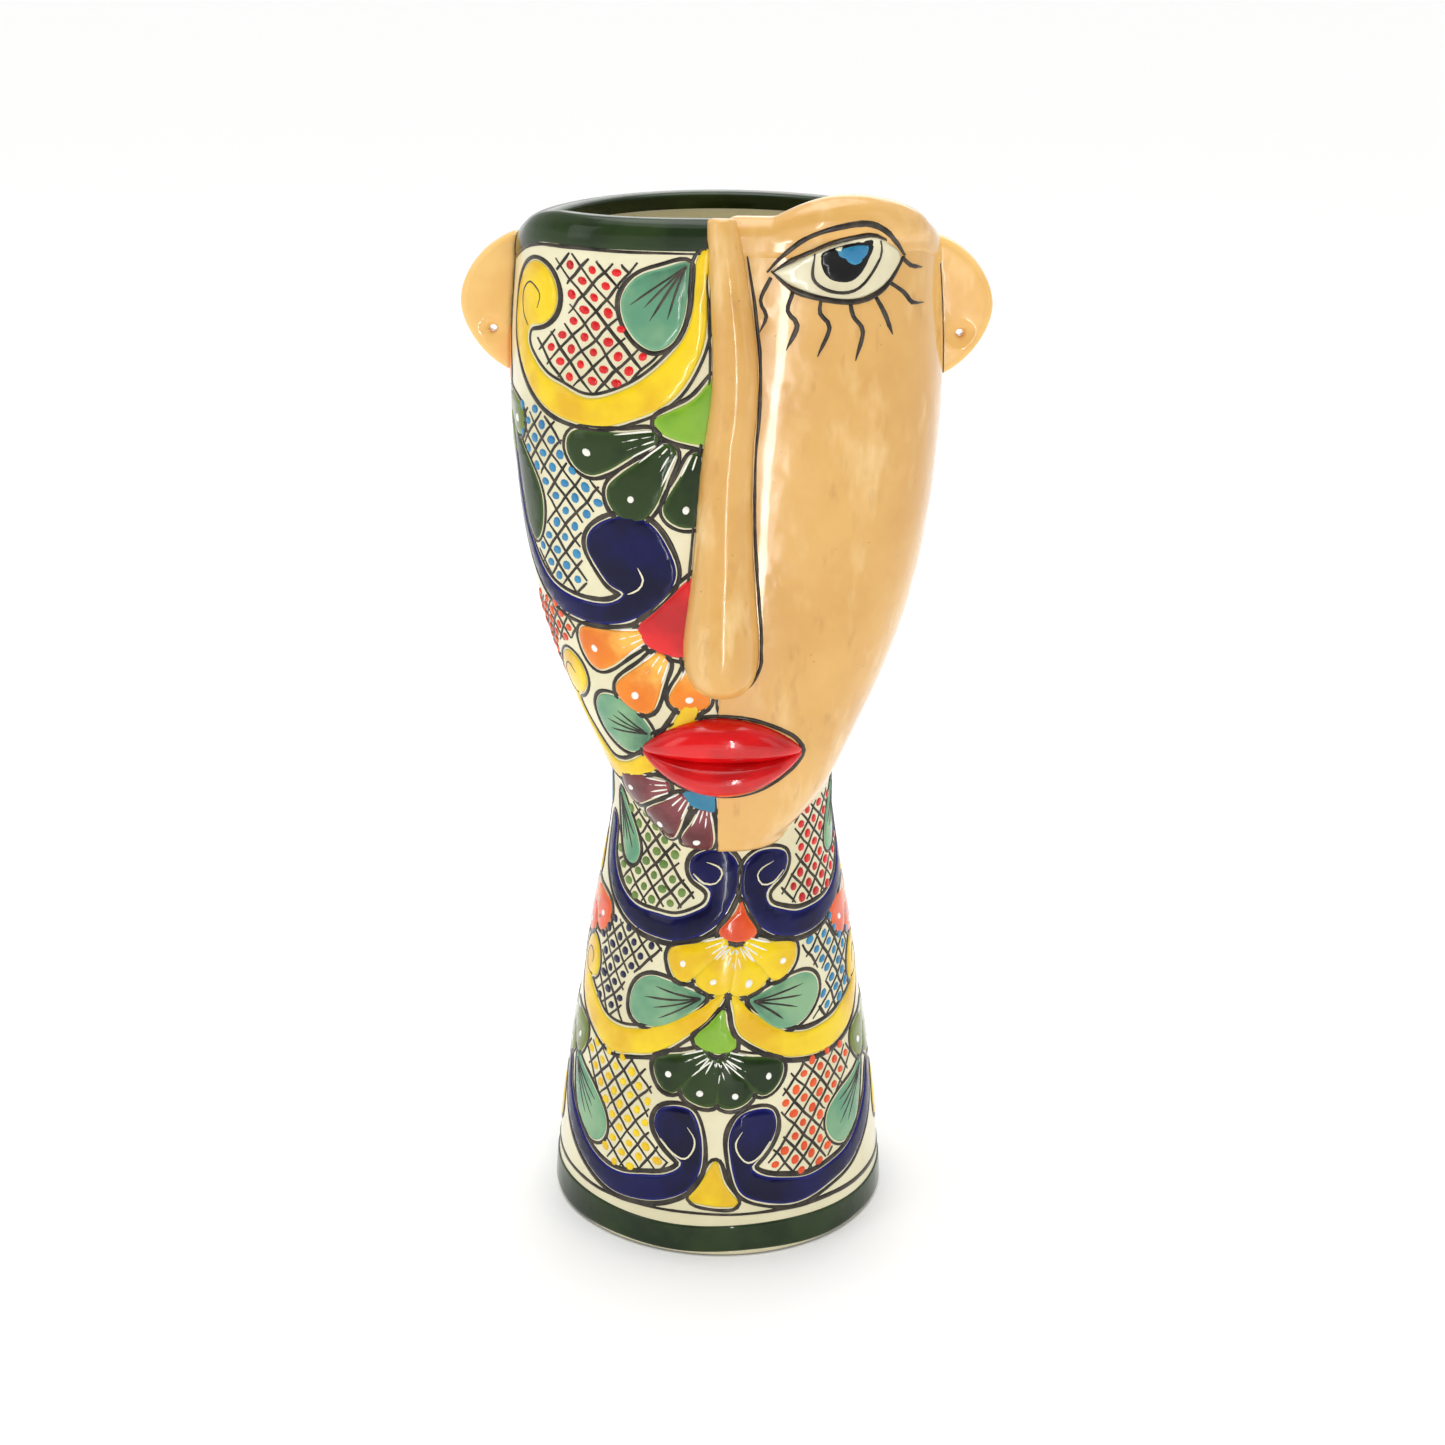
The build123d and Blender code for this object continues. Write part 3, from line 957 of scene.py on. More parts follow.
def lay_patch(patch, lay, colour):
    """Lay a cut patch; lay(x, z, lift) gives metres and says if it mirrors."""
    where = lay(patch["spots"][:, 0], patch["spots"][:, 1], patch["lift"])
    keep(colour, where, patch["faces"], patch["edge"], patch["along"], lay.mirrored)


def brush(corners, lay, width=2.2, high=0.35, over=0.0, ends=(0.35, 0.35), closed=False, colour="lines"):
    """A brushed line: a low ridge whose width comes and goes a little, tapered at its ends."""
    path = closed_curve(corners, 2.0) if closed else open_curve(corners, 2.0)
    if len(path) < 2:
        return
    if closed:
        ahead = np.roll(path, -1, 0) - np.roll(path, 1, 0)
    else:
        ahead = np.gradient(path, axis=0)
    side = np.column_stack([-ahead[:, 1], ahead[:, 0]])
    side /= np.maximum(np.linalg.norm(side, axis=1, keepdims=True), 1e-9)
    count = len(path)
    wave = np.cumsum([luck.uniform(-0.12, 0.12) for _ in range(count)])
    wave -= np.linspace(wave[0], wave[-1], count)
    half = width / 2 * np.clip(1 + wave, 0.7, 1.3)
    if not closed:
        t = np.linspace(0, 1, count)
        half *= np.interp(t, (0, 0.18, 0.8, 1), (ends[0], 1, 1, ends[1]))
    across = np.array([-1, -0.6, 0, 0.6, 1])
    lifts = over + np.array([UNDER, high * 0.75, high, high * 0.75, UNDER])
    spots = path[:, None] + side[:, None] * half[:, None, None] * across[:, None]
    lift = np.broadcast_to(lifts, (count, 5))
    where = lay(spots[..., 0].ravel(), spots[..., 1].ravel(), lift.ravel())
    faces = []
    for i in range(count if closed else count - 1):
        here, there = i * 5, (i + 1) % count * 5
        for k in range(5):
            n = (k + 1) % 5
            faces.append((here + k, there + k, there + n, here + n))
    if not closed:
        faces.append((0, 1, 2, 3, 4))
        faces.append(tuple((count - 1) * 5 + k for k in (4, 3, 2, 1, 0)))
    keep(colour, where, faces, np.ones(count * 5), np.ones(count * 5), not lay.mirrored)


print("a patch stands", PATCH_HIGH, "mm up from the clay")

# %% [markdown]
# A dot is one drop of glaze from the tip of a brush: a low dome. There are hundreds, so the dome has
# few faces. It is modelled once, from a circle that is extruded and shrunk twice, and copied.

# %% Dots
deselect()
bpy.ops.mesh.primitive_circle_add(vertices=9, radius=1, fill_type="NGON")
drop = bpy.context.object
bpy.ops.object.mode_set(mode="EDIT")
bpy.ops.mesh.select_all(action="SELECT")
bpy.ops.mesh.extrude_region_move(TRANSFORM_OT_translate={"value": (0, 0, 0.7)})
bpy.ops.transform.resize(value=(0.8, 0.8, 1))
bpy.ops.mesh.extrude_region_move(TRANSFORM_OT_translate={"value": (0, 0, 0.3)})
bpy.ops.transform.resize(value=(0.5, 0.5, 1))
bpy.ops.mesh.select_all(action="SELECT")
bpy.ops.mesh.normals_make_consistent(inside=False)
bpy.ops.object.mode_set(mode="OBJECT")
drop_spots = points_of(drop)
drop_faces = [tuple(p.vertices) for p in drop.data.polygons]
bpy.data.objects.remove(drop)
print("a dot has", len(drop_faces), "faces")


def dot(x, z, lay, radius, colour, over=0.0, high=0.55):
    """One drop of glaze."""
    r = radius * luck.uniform(0.88, 1.12)
    squeeze = luck.uniform(0.88, 1.12)
    lift = over + np.where(drop_spots[:, 2] < 0.1, UNDER, drop_spots[:, 2] * high)
    where = lay(x + drop_spots[:, 0] * r * squeeze, z + drop_spots[:, 1] * r / squeeze, lift)
    keep(colour, where, drop_faces, np.ones(len(lift)), np.ones(len(lift)), lay.mirrored)


# %% [markdown]
# ## Where the ornament repeats
#
# The pattern stands on four upright axes round the vase: one at the front, one at the back and one
# on each side. A scroll fills the space from one axis to the next, and the next space is its mirror
# image. A Place turns a drawing measured from its axis into millimetres round the form.

# %% Places


TOP_ROW = 370                # mm: the drop of the top row grows from this height up


class Place:
    """A drawing place: x is measured from an upright axis of the pattern, z from the table."""

    def __init__(self, form, axis, side, stretch=1.0, lean=None, drop=None, shake=1.0):
        self.form, self.axis, self.side, self.stretch = form, axis, side, stretch
        self.zone = "head" if form is head else "neck"
        self.lines = "lines" if form is head else "neck_lines"
        self.lean, self.drop, self.shake = lean, drop, shake
        self.mirrored = side < 0
        self.phase = luck.uniform(0, 6)

    def __call__(self, x, z, lift):
        x, z = np.asarray(x, float), np.asarray(z, float)
        middle = self.axis * self.form.half_girth(z)
        if self.lean:
            middle = middle + np.interp(z, *self.lean)
        if self.drop:
            z = z - np.interp(x, *self.drop) * np.clip((z - TOP_ROW) / 60, 0, 1)
        hand = self.shake * (0.7 * np.sin(z / 13 + self.phase) + 0.5 * np.sin(z / 5.5 + 2 * self.phase))
        rise = self.shake * (0.6 * np.sin(x / 11 + self.phase) + 0.3 * np.sin(x / 5 + self.phase))
        return self.form.lay(middle + self.side * self.stretch * x + hand, z + rise, lift)


SIDE_AXIS = 0.45             # the head's side axes, as a share of the way to the back
BACK_STRETCH = (1 - SIDE_AXIS) / SIDE_AXIS
NECK_LEAN = ([60, 100, 110, 128, 160, 190], [-1, -1, 2, 6, 8, 8])     # mm up, and mm to the right
FRONT_DROP = ([10, 90], [3, 4])      # the top row is pressed down by this, in mm, under the green rim
BACK_DROP = ([20, 85], [16, 5])      # and by this behind, where the mouth's edge is lower
head_spaces = [Place(head, 0, -1, drop=FRONT_DROP), Place(head, -1, 1, BACK_STRETCH, drop=BACK_DROP),
               Place(head, 1, -1, BACK_STRETCH, drop=BACK_DROP)]
neck_spaces = [Place(neck, 0, -1, lean=NECK_LEAN), Place(neck, 0, 1, lean=NECK_LEAN),
               Place(neck, -1, 1), Place(neck, 1, -1)]
print("spaces to paint:", len(head_spaces), "on the head and", len(neck_spaces), "on the neck")

# %% [markdown]
# ## Motifs
#
# Five things make up the whole pattern: a scroll that ends in a curl, a leaf with dark veins,
# a lattice with a dot in each cell, a bud, and under the bud a fan of petals with a white dot each.
# Each is a small function here, and the rows below only say where the corners of each shape lie.

# %% Motif helpers
LINE_GAP = 1.55              # mm from a patch's edge to the middle of its dark line


def moved_out(outline, distance):
    """An outline moved outwards."""
    ahead = np.roll(outline, -1, 0) - np.roll(outline, 1, 0)
    normal = np.column_stack([ahead[:, 1], -ahead[:, 0]])
    normal /= np.maximum(np.linalg.norm(normal, axis=1, keepdims=True), 1e-9)
    out = outline + normal * distance
    for _ in range(2):
        out = (np.roll(out, 1, 0) + 2 * out + np.roll(out, -1, 0)) / 4
    return out


def outlined(lay, patch, colour, width=2.5):
    """A flooded patch with its dark line."""
    lay_patch(patch, lay, colour)
    brush(moved_out(patch["outline"], LINE_GAP), lay, width=width, closed=True, colour=lay.lines)


def curl_mark(lay, corners, colour):
    """The line that winds into a curl, over its glaze."""
    brush(corners, lay, width=1.1, high=0.16, over=PATCH_HIGH, ends=(0.6, 0.3), colour=colour)


def veins(lay, tip, body, spread, count=4):
    """Dark strokes that fan out from a leaf's tip."""
    tip, body = np.array(tip, float), np.array(body, float)
    axis = body - tip
    side = np.array([-axis[1], axis[0]]) / np.linalg.norm(axis)
    for k in np.linspace(-1, 1, count):
        reach = (0.98 - 0.16 * abs(k)) * luck.uniform(0.85, 1.08)
        middle = tip + axis * 0.5 * reach + side * spread * k * 0.45
        end = tip + axis * reach + side * spread * k
        brush([tip + axis * 0.05, middle, end], lay, width=1.25, high=0.18, over=PATCH_HIGH,
              ends=(0.9, 0.2), colour=lay.lines)


def petal_patch(root, tip, width):
    """A petal: narrow at its root and round at its tip."""
    root, tip = np.array(root, float), np.array(tip, float)
    axis = tip - root
    side = np.array([-axis[1], axis[0]]) / np.linalg.norm(axis) * width / 2
    shares = [(0.0, 0.30), (0.3, 0.56), (0.6, 0.88), (0.82, 0.98), (0.95, 0.66)]
    left = [root + axis * t + side * w for t, w in shares]
    right = [root + axis * t - side * w for t, w in reversed(shares)]
    return cut_patch([tuple(p) for p in left + [tip] + right], cell=5.0, rim=0.7,
                     root=tuple(root), tip=tuple(tip))


def fan(lay, petals, colour, mirror=(1,)):
    """Petals side by side, each with a white dot and white strokes at its root."""
    white = lay.zone + "_white"
    for root, tip, width in petals:
        patch = petal_patch(root, tip, width)
        for side in mirror:
            turned = flipped(patch) if side < 0 else patch
            outlined(lay, turned, colour, width=2.2)
            a = np.array(root, float) * (side, 1)
            b = np.array(tip, float) * (side, 1)
            across = np.array([-(b - a)[1], (b - a)[0]]) / np.linalg.norm(b - a)
            spot = a + (b - a) * 0.76
            dot(spot[0], spot[1], lay, 1.75, white, over=PATCH_HIGH - 0.1)
            for k in (-0.8, -0.3, 0.25, 0.8):
                start = a + (b - a) * 0.02 + across * width * 0.2 * k
                end = a + (b - a) * luck.uniform(0.26, 0.42) + across * width * 0.36 * k
                brush([start, (start + end) / 2, end], lay, width=1.0, high=0.15, over=PATCH_HIGH - 0.1,
                      ends=(0.9, 0.2), colour=white)


def lower(petals, drop):
    """The same petals, further down by so many millimetres."""
    return [((a, b - drop), (c, d - drop), w) for (a, b), (c, d), w in petals]


def flipped(patch):
    """The mirror image of a patch about its axis."""
    out = dict(patch)
    out["spots"] = patch["spots"] * (-1, 1)
    out["outline"] = (patch["outline"] * (-1, 1))[::-1]
    out["faces"] = [f[::-1] for f in patch["faces"]]
    return out


def both_sides(half):
    """A whole bud from its half."""
    return half + [(-x, z) for x, z in reversed(half) if abs(x) > 1.5]


def lattice(lay, field, holes, colour, across=9.6, up=11.2):
    """Crossed thin lines with a dot in each cell, kept off the shapes in holes."""
    field = closed_curve(field)
    low, high = field.min(0), field.max(0)
    start = low + (luck.uniform(0, 4), luck.uniform(0, 4))
    span = float(np.linalg.norm(high - low))

    def free(spots, margin):
        good = inside(spots, field)
        for hole in holes:
            good &= ~inside(spots, hole) & (far_from_edge(spots, hole) > margin)
        return good
    for way in (1, -1):
        ahead = np.array([across, way * up]) / math.hypot(across, up)
        for k in range(-24, 25):
            t = np.arange(-span, span, 1.5)
            spots = start + np.array([(k + 0.5) * across, 0]) + t[:, None] * ahead
            good = free(spots, 1.4)
            run = []
            for spot, ok in zip(spots, list(good[:-1]) + [False]):
                if ok:
                    run.append(spot)
                elif run:
                    if len(run) > 3:
                        path = np.array(run[::3] + [run[-1]])
                        path += [[luck.uniform(-0.35, 0.35), luck.uniform(-0.35, 0.35)] for _ in path]
                        brush(path, lay, width=1.65, high=0.25, ends=(0.7, 0.5), colour=lay.lines)
                    run = []
    spots = np.array([start + (i * across + (j % 2) * across / 2, j * up / 2)
                      for i in range(-2, 16) for j in range(-2, 24)])
    for x, z in spots[free(spots, 2.3) & (far_from_edge(spots, field) > 1.0)]:
        dot(x + luck.uniform(-0.4, 0.4), z + luck.uniform(-0.4, 0.4), lay, 2.05, colour)


print("motifs: scroll, leaf, lattice, bud and fan")

# %% [markdown]
# ## Head, top row: yellow scroll, mint leaf and red-dotted lattice
#
# Every scroll runs down from one axis and up to its curl at the next. Corners are in millimetres:
# across from the axis, and above the table. The same corners serve every space, mirrored in turn.

# %% Top row
top_scroll = cut_patch([
    (6, 434), (8, 412), (10, 393), (16, 380), (26, 371), (38, 366), (49, 363), (60, 363), (70, 366),
    (80, 373), (89, 384), (96, 397), (95, 411), (88, 422), (79, 427), (71, 424), (67, 416), (69, 407),
    (75, 402), (83, 400), (84, 393), (78, 386), (71, 380), (64, 377), (57, 374), (51, 374), (43, 377),
    (33, 382), (25, 389), (18, 399), (14, 410), (12, 420), (11, 432)])
top_leaf = cut_patch([(14, 430), (24, 428), (34, 424), (40, 416), (40, 407), (35, 399), (28, 395),
                      (22, 398), (18, 406), (15, 417)], root=(14, 430), tip=(33, 403))
top_field = [(18, 428), (40, 430), (68, 430), (62, 414), (66, 402), (79, 396), (71, 384), (57, 376),
             (45, 377), (31, 385), (21, 396), (16, 412)]
for lay in head_spaces:
    outlined(lay, top_scroll, "head_yellow")
    curl_mark(lay, [(84, 400), (88, 405), (88, 413), (82, 418), (76, 414), (78, 408)], "lines")
    outlined(lay, top_leaf, "head_mint", width=2.1)
    veins(lay, (14, 430), (34, 406), 7)
    lattice(lay, top_field, [top_scroll["outline"], top_leaf["outline"]], "head_red_dots")
print("top row laid", len(head_spaces), "times")

# %% [markdown]
# ## Head, middle row: cobalt scroll, dark leaf and blue-dotted lattice
#
# This row is turned round: its curl is at the front axis and its plain end climbs to the side axis.
# The lattice also keeps off the petals of the green fan, which hangs into this row.

# %% Middle row
middle_scroll = cut_patch([
    (54, 320), (48, 326), (39, 329), (30, 326), (23, 318), (19, 308), (21, 300), (27, 292), (36, 286),
    (47, 283), (58, 282), (69, 284), (78, 289), (87, 295), (95, 304), (101, 316), (104, 330), (105, 344),
    (100, 345), (98, 331), (94, 318), (88, 308), (80, 299), (72, 294), (62, 291), (52, 291), (44, 293),
    (40, 297), (46, 300), (51, 306), (55, 313)])
middle_leaf = cut_patch([(100, 356), (90, 349), (82, 340), (78, 329), (79, 317), (85, 311), (91, 316),
                         (95, 328), (98, 342)], root=(100, 356), tip=(84, 320))
middle_field = [(66, 360), (80, 371), (98, 366), (92, 350), (77, 338), (75, 322), (84, 306), (72, 296),
                (56, 293), (58, 312), (54, 327), (45, 331), (50, 340), (62, 346)]
green_fan = [((26, 360), (62, 350), 18), ((20, 356), (43, 329), 20), ((9, 353), (18, 325), 18)]
petal_holes = [petal_patch(*p)["outline"] for p in green_fan]
for lay in head_spaces:
    outlined(lay, middle_scroll, "head_cobalt")
    curl_mark(lay, [(38, 297), (34, 299), (32, 303), (34, 308)], "grooves")
    outlined(lay, middle_leaf, "head_pine", width=2.1)
    lattice(lay, middle_field, [middle_scroll["outline"], middle_leaf["outline"]] + petal_holes,
            "head_sky_dots")
print("middle row:", round(abs(area_of(closed_curve(middle_field))) / 2), "sq mm of lattice in each space")

# %% [markdown]
# ## Head, low row: yellow scroll near the jaw, mint leaf and orange-dotted lattice
#
# The head narrows here, so the motifs are smaller and the lattice is closer.

# %% Low row
low_scroll = cut_patch([
    (9, 252), (14, 238), (24, 225), (36, 218), (49, 213), (60, 216), (69, 224), (77, 236), (82, 249),
    (79, 260), (71, 266), (63, 262), (60, 254), (65, 247), (71, 245), (70, 238), (64, 231), (56, 225),
    (50, 222), (43, 223), (36, 227), (27, 235), (19, 246), (14, 255)])
low_leaf = cut_patch([(29, 238), (34, 246), (43, 252), (52, 251), (56, 244), (54, 236), (47, 231),
                      (39, 229), (33, 232)], root=(29, 238), tip=(50, 243))
low_field = [(60, 276), (68, 287), (84, 291), (98, 288), (98, 262), (92, 244), (78, 226), (72, 222),
             (80, 240), (85, 254), (80, 266), (70, 270)]
orange_fan = [((31, 280), (60, 269), 18), ((24, 272), (39, 249), 19), ((11, 270), (14, 249), 17)]
for lay in head_spaces:
    outlined(lay, low_scroll, "head_yellow")
    curl_mark(lay, [(70, 246), (76, 249), (77, 256), (72, 260), (67, 256)], "lines")
    outlined(lay, low_leaf, "head_mint", width=2.1)
    veins(lay, (30, 238), (50, 243), 5)
    lattice(lay, low_field, [low_scroll["outline"]], "head_flame_dots", across=8, up=9.5)
print("low row laid", len(head_spaces), "times")

# %% [markdown]
# ## Head, on the axes: buds and fans between the rows
#
# A bud hides the place where two scrolls meet, and its fan fills the space below. At the front only
# the painted half is drawn. Behind, both halves are, with one more petal in the middle.

# %% Head buds and fans
green_bud = [(2, 384), (6, 381), (12, 375), (20, 371), (27, 367), (24, 362), (17, 359), (9, 357), (2, 356)]
red_bud = [(2, 311), (8, 308), (15, 303), (20, 298), (26, 291), (33, 283), (31, 277), (24, 273), (12, 271),
           (2, 271)]
cyan_bud = [(2, 216), (8, 216), (15, 214), (13, 209), (8, 206), (2, 205)]
maroon_fan = [((21, 216), (46, 210), 16), ((14, 212), (31, 192), 17), ((6, 206), (11, 186), 14)]
BACK_RISE = 14               # mm that the lowest fan sits higher behind, to clear the neck
front = Place(head, 0, -1)
rear = Place(head, 1, 1)
left = Place(head, -SIDE_AXIS, 1)
for bud, colour in ((green_bud, "head_leaf_green"), (red_bud, "head_red"), (cyan_bud, "head_cyan")):
    outlined(front, cut_patch(bud), colour, width=2.2)
    rise = BACK_RISE if bud is cyan_bud else 0
    outlined(rear, cut_patch(both_sides([(x, z + rise) for x, z in bud])), colour, width=2.2)
for petals, colour in ((green_fan, "head_pine"), (orange_fan, "head_orange"), (maroon_fan, "head_maroon")):
    fan(front, petals, colour)
    rise, first = (BACK_RISE, 1) if petals is maroon_fan else (0, 0)
    fan(rear, lower(petals, -rise)[first:], colour, mirror=(1, -1))
fan(rear, [((0, 354), (0, 322), 15)], "head_pine")
fan(rear, [((0, 269), (0, 241), 15)], "head_orange")
side_bud = both_sides([(1, 392), (6, 384), (10, 376), (7, 371), (1, 370)])
outlined(left, cut_patch(side_bud), "head_orange", width=2.1)
fan(left, [((5, 368), (29, 356), 14), ((3, 366), (12, 341), 13)], "head_olive", mirror=(1, -1))
print("white dots on the petals:", sum(len(f) == len(drop_faces) for _, f, _, _ in bins["head_white"]))

# %% [markdown]
# ## Neck
#
# The cone has three rows of the same motifs. Cobalt curls meet on the front axis in the top and the
# bottom row, and yellow scrolls end there in the middle row.

# %% Neck scrolls, leaves and lattices
neck_top_scroll = cut_patch([
    (1, 168), (3, 174), (8, 178), (15, 178), (21, 175), (22, 170), (20, 166), (15, 163), (12, 160),
    (13, 155), (18, 152), (26, 149), (34, 149), (45, 150), (54, 154), (61, 160), (65, 168), (66, 180),
    (71, 180), (72, 168), (69, 158), (62, 150), (54, 145), (45, 141), (35, 139), (24, 139), (15, 142),
    (8, 147), (4, 153), (1, 161)])
neck_top_leaf = cut_patch([
    (60, 196), (54, 189), (49, 180), (47, 172), (50, 167), (55, 168), (59, 176), (61, 186)],
    root=(60, 196), tip=(51, 169))
neck_top_field = [
    (26, 190), (26, 174), (25, 168), (18, 160), (20, 155), (30, 151), (45, 152), (56, 158), (63, 168),
    (64, 182), (60, 194), (44, 194)]
neck_middle_scroll = cut_patch([
    (1, 117), (4, 110), (8, 103), (16, 96), (27, 89), (38, 86), (52, 84), (64, 87), (76, 93), (84, 102),
    (87, 112), (84, 121), (77, 125), (70, 122), (68, 115), (70, 109), (75, 107), (71, 104), (65, 101),
    (57, 97), (47, 96), (38, 97), (29, 100), (20, 105), (11, 111), (4, 117)])
neck_middle_leaf = cut_patch([
    (9, 115), (18, 106), (26, 101), (35, 100), (42, 104), (44, 111), (41, 118), (34, 122), (24, 121),
    (15, 118)], root=(9, 115), tip=(38, 110))
neck_middle_field = [
    (31, 136), (46, 141), (62, 141), (76, 134), (68, 126), (66, 114), (70, 106), (58, 99), (45, 97),
    (47, 106), (47, 118), (36, 125)]
neck_low_scroll = cut_patch([
    (5, 50), (6, 58), (10, 65), (17, 67), (24, 65), (26, 58), (23, 51), (18, 45), (15, 42), (17, 39),
    (23, 36), (32, 34), (43, 32), (54, 33), (66, 37), (78, 46), (86, 55), (90, 64), (96, 63), (94, 52),
    (88, 42), (80, 35), (70, 29), (59, 25), (46, 22), (33, 22), (21, 25), (12, 30), (7, 39)])
neck_low_leaf = cut_patch([
    (82, 70), (73, 67), (62, 63), (54, 57), (52, 50), (56, 43), (64, 40), (73, 46), (79, 57)],
    root=(82, 70), tip=(58, 48))
neck_low_field = [
    (36, 84), (29, 76), (28, 64), (29, 55), (22, 46), (22, 39), (34, 35), (48, 34), (56, 40), (50, 50),
    (54, 60), (66, 68), (73, 78), (62, 84), (48, 84)]
neck_rows = [
    (neck_top_scroll, "neck_cobalt", [(20, 168), (15, 164), (10, 164), (8, 168), (10, 171), (15, 173)],
     neck_top_leaf, ((60, 195), (52, 172), 4), neck_top_field, ("neck_moss_dots", "neck_red_dots")),
    (neck_middle_scroll, "neck_yellow", [(74, 108), (80, 109), (83, 114), (79, 119), (74, 117), (75, 113)],
     neck_middle_leaf, ((10, 115), (37, 110), 7), neck_middle_field, ("neck_navy_dots", "neck_sky_dots")),
    (neck_low_scroll, "neck_cobalt", [(23, 52), (18, 46), (13, 44), (9, 48), (8, 53), (11, 58)],
     neck_low_leaf, ((81, 69), (59, 50), 6), neck_low_field, ("neck_yellow_dots", "neck_flame_dots")),
]
for scroll, colour, mark, leaf, (tip, body, spread), field, dots in neck_rows:
    for i, lay in enumerate(neck_spaces):
        outlined(lay, scroll, colour)
        curl_mark(lay, mark, "neck_lines" if colour == "neck_yellow" else "neck_grooves")
        outlined(lay, leaf, "neck_mint", width=2.1)
        veins(lay, tip, body, spread)
        lattice(lay, field, [scroll["outline"], leaf["outline"]], dots[i % 2], across=9.0, up=10.4)
print("neck rows laid", len(neck_spaces), "times each")

# %% [markdown]
# ## Neck, on the axes: buds and fans
#
# One fan of four petals serves the whole neck. It is only moved up or down and given another glaze.

# %% Neck buds and fans
four = [((4, 139), (27, 127), 17), ((1, 137), (9.5, 117.5), 17)]
neck_axes = [Place(neck, 0, 1, lean=NECK_LEAN), Place(neck, 1, 1)]
neck_sides = [Place(neck, -0.5, 1), Place(neck, 0.5, 1)]
axis_buds = [
    ([(0, 157), (3, 151), (8, 145), (7, 141), (0, 139)], "neck_flame", 0, "neck_yellow_petals"),
    ([(0, 111), (4, 104), (9, 97), (7, 93), (0, 91)], "neck_leaf_green", 49, "neck_pine"),
    ([(0, 44), (5, 34), (11, 26), (9, 24), (0, 23)], "neck_yellow", 0, None),
]
for lay in neck_axes:
    for half, colour, drop_by, fan_colour in axis_buds:
        outlined(lay, cut_patch(both_sides(half)), colour, width=2.2)
        if fan_colour:
            fan(lay, lower(four, drop_by), fan_colour, mirror=(1, -1))
high_side_bud = cut_patch(both_sides([(0, 170), (4, 162), (7, 155), (5, 151), (0, 150)]))
low_side_bud = cut_patch(both_sides([(0, 56), (5, 48), (8, 38), (6, 33), (0, 31)]))
collar_bud = cut_patch(both_sides([(0, 201), (5, 196), (7, 189), (4, 184), (0, 182)]))
for lay in neck_sides:
    outlined(lay, high_side_bud, "neck_yellow", width=2.1)
    fan(lay, lower(four, -8), "neck_flame", mirror=(1, -1))
    fan(lay, lower(four, 51), "neck_olive", mirror=(1, -1))
    outlined(lay, low_side_bud, "neck_yellow", width=2.1)
    outlined(lay, collar_bud, "neck_cyan", width=2.1)
print("buds and fans on", len(neck_axes) + len(neck_sides), "axes of the neck")

# %% [markdown]
# ## Face lines and eye
#
# The nose, the lips and the ears are separate clay pieces, and a thin dark line runs along the
# seam of each. The lines follow the real edges of those pieces, which are felt out with rays.
# The eye is drawn with the same brush: two lid strokes, a lower lid, a ring, a big pupil with a
# blue half moon in it, and seven lashes that wave downwards.

# %% Ray places


USUAL_REACH = 0.4            # metres that a ray runs before it meets the clay


class Cast:
    """A drawing place felt out with rays: ink lands on the first surface that its ray meets."""

    def __init__(self, names, start, way, across):
        self.start, self.way, self.across = Vector(start), Vector(way), Vector(across)
        self.mirrored = False
        self.trees = []
        for name in names:
            obj = bpy.data.objects[name]
            spots = [Vector(p) for p in points_of(obj)]
            self.trees.append(BVHTree.FromPolygons(spots, [tuple(p.vertices) for p in obj.data.polygons]))

    def __call__(self, x, z, lift):
        x, z, lift = (np.asarray(v, float) for v in np.broadcast_arrays(x, z, lift))
        out = []
        last = None
        for a, b, up in zip(x.ravel(), z.ravel(), lift.ravel()):
            origin = self.start + self.across * (a * MM) + Vector((0, 0, b * MM))
            found = [tree.ray_cast(origin, self.way) for tree in self.trees]
            hits = [h for h in found if h[0] is not None]
            if hits:
                spot, normal, _, far = min(hits, key=lambda h: h[3])
                normal = normal if normal.dot(self.way) < 0 else -normal
                last = far
            else:
                guess = origin + self.way * (last or USUAL_REACH)
                spot, normal, _, _ = min((t.find_nearest(guess) for t in self.trees), key=lambda h: h[3])
            out.append(spot + normal * (up * MM))
        return np.array(out)


on_face = Cast(["tan_face", "tan_brow", "head_shell"], (0, -0.5, 0), (0, 1, 0), (1, 0, 0))
under_face = Cast(["tan_face", "head_shell"], (0, -0.5, 0), (0, 1, 0), (1, 0, 0))


def outline_at(name, heights):
    """The left and right edge of a piece at each height, in mm."""
    spots = points_of(bpy.data.objects[name]) / MM
    out = []
    for z in heights:
        near = spots[np.abs(spots[:, 2] - z) < 2.0]
        out.append((near[:, 0].min(), near[:, 0].max()))
    return np.array(out)


print("ink is felt out on", len(on_face.trees), "surfaces")

# %% [markdown]
# The nose's line runs down both of its sides and under the bulb, a millimetre off the clay strip.
# Its edges are read from the strip itself at every few millimetres of height.

# %% Nose lines
NOSE_GAP = 0.9               # mm from the nose's side to its line
nose_heights = np.arange(268, 437, 6.0)
nose_edges = outline_at("nose", nose_heights)
nose_spots = points_of(bpy.data.objects["nose"]) / MM
nose_low = float(nose_spots[:, 2].min())
for column, way, foot_x, width, ends in ((0, -1, -2.0, 1.7, (0.5, 0.6)), (1, 1, 0.0, 1.6, (0.3, 0.8))):
    sides = [(x + way * NOSE_GAP, z) for x, z in zip(nose_edges[::-1, column], nose_heights[::-1])]
    turn_in = [(nose_edges[0, column] - way * 3.5, nose_low + 3.0), (foot_x, nose_low - 0.8)]
    brush(sides + turn_in, under_face, width=width, high=0.5, ends=ends)
print("the nose ends at", round(nose_low), "mm")

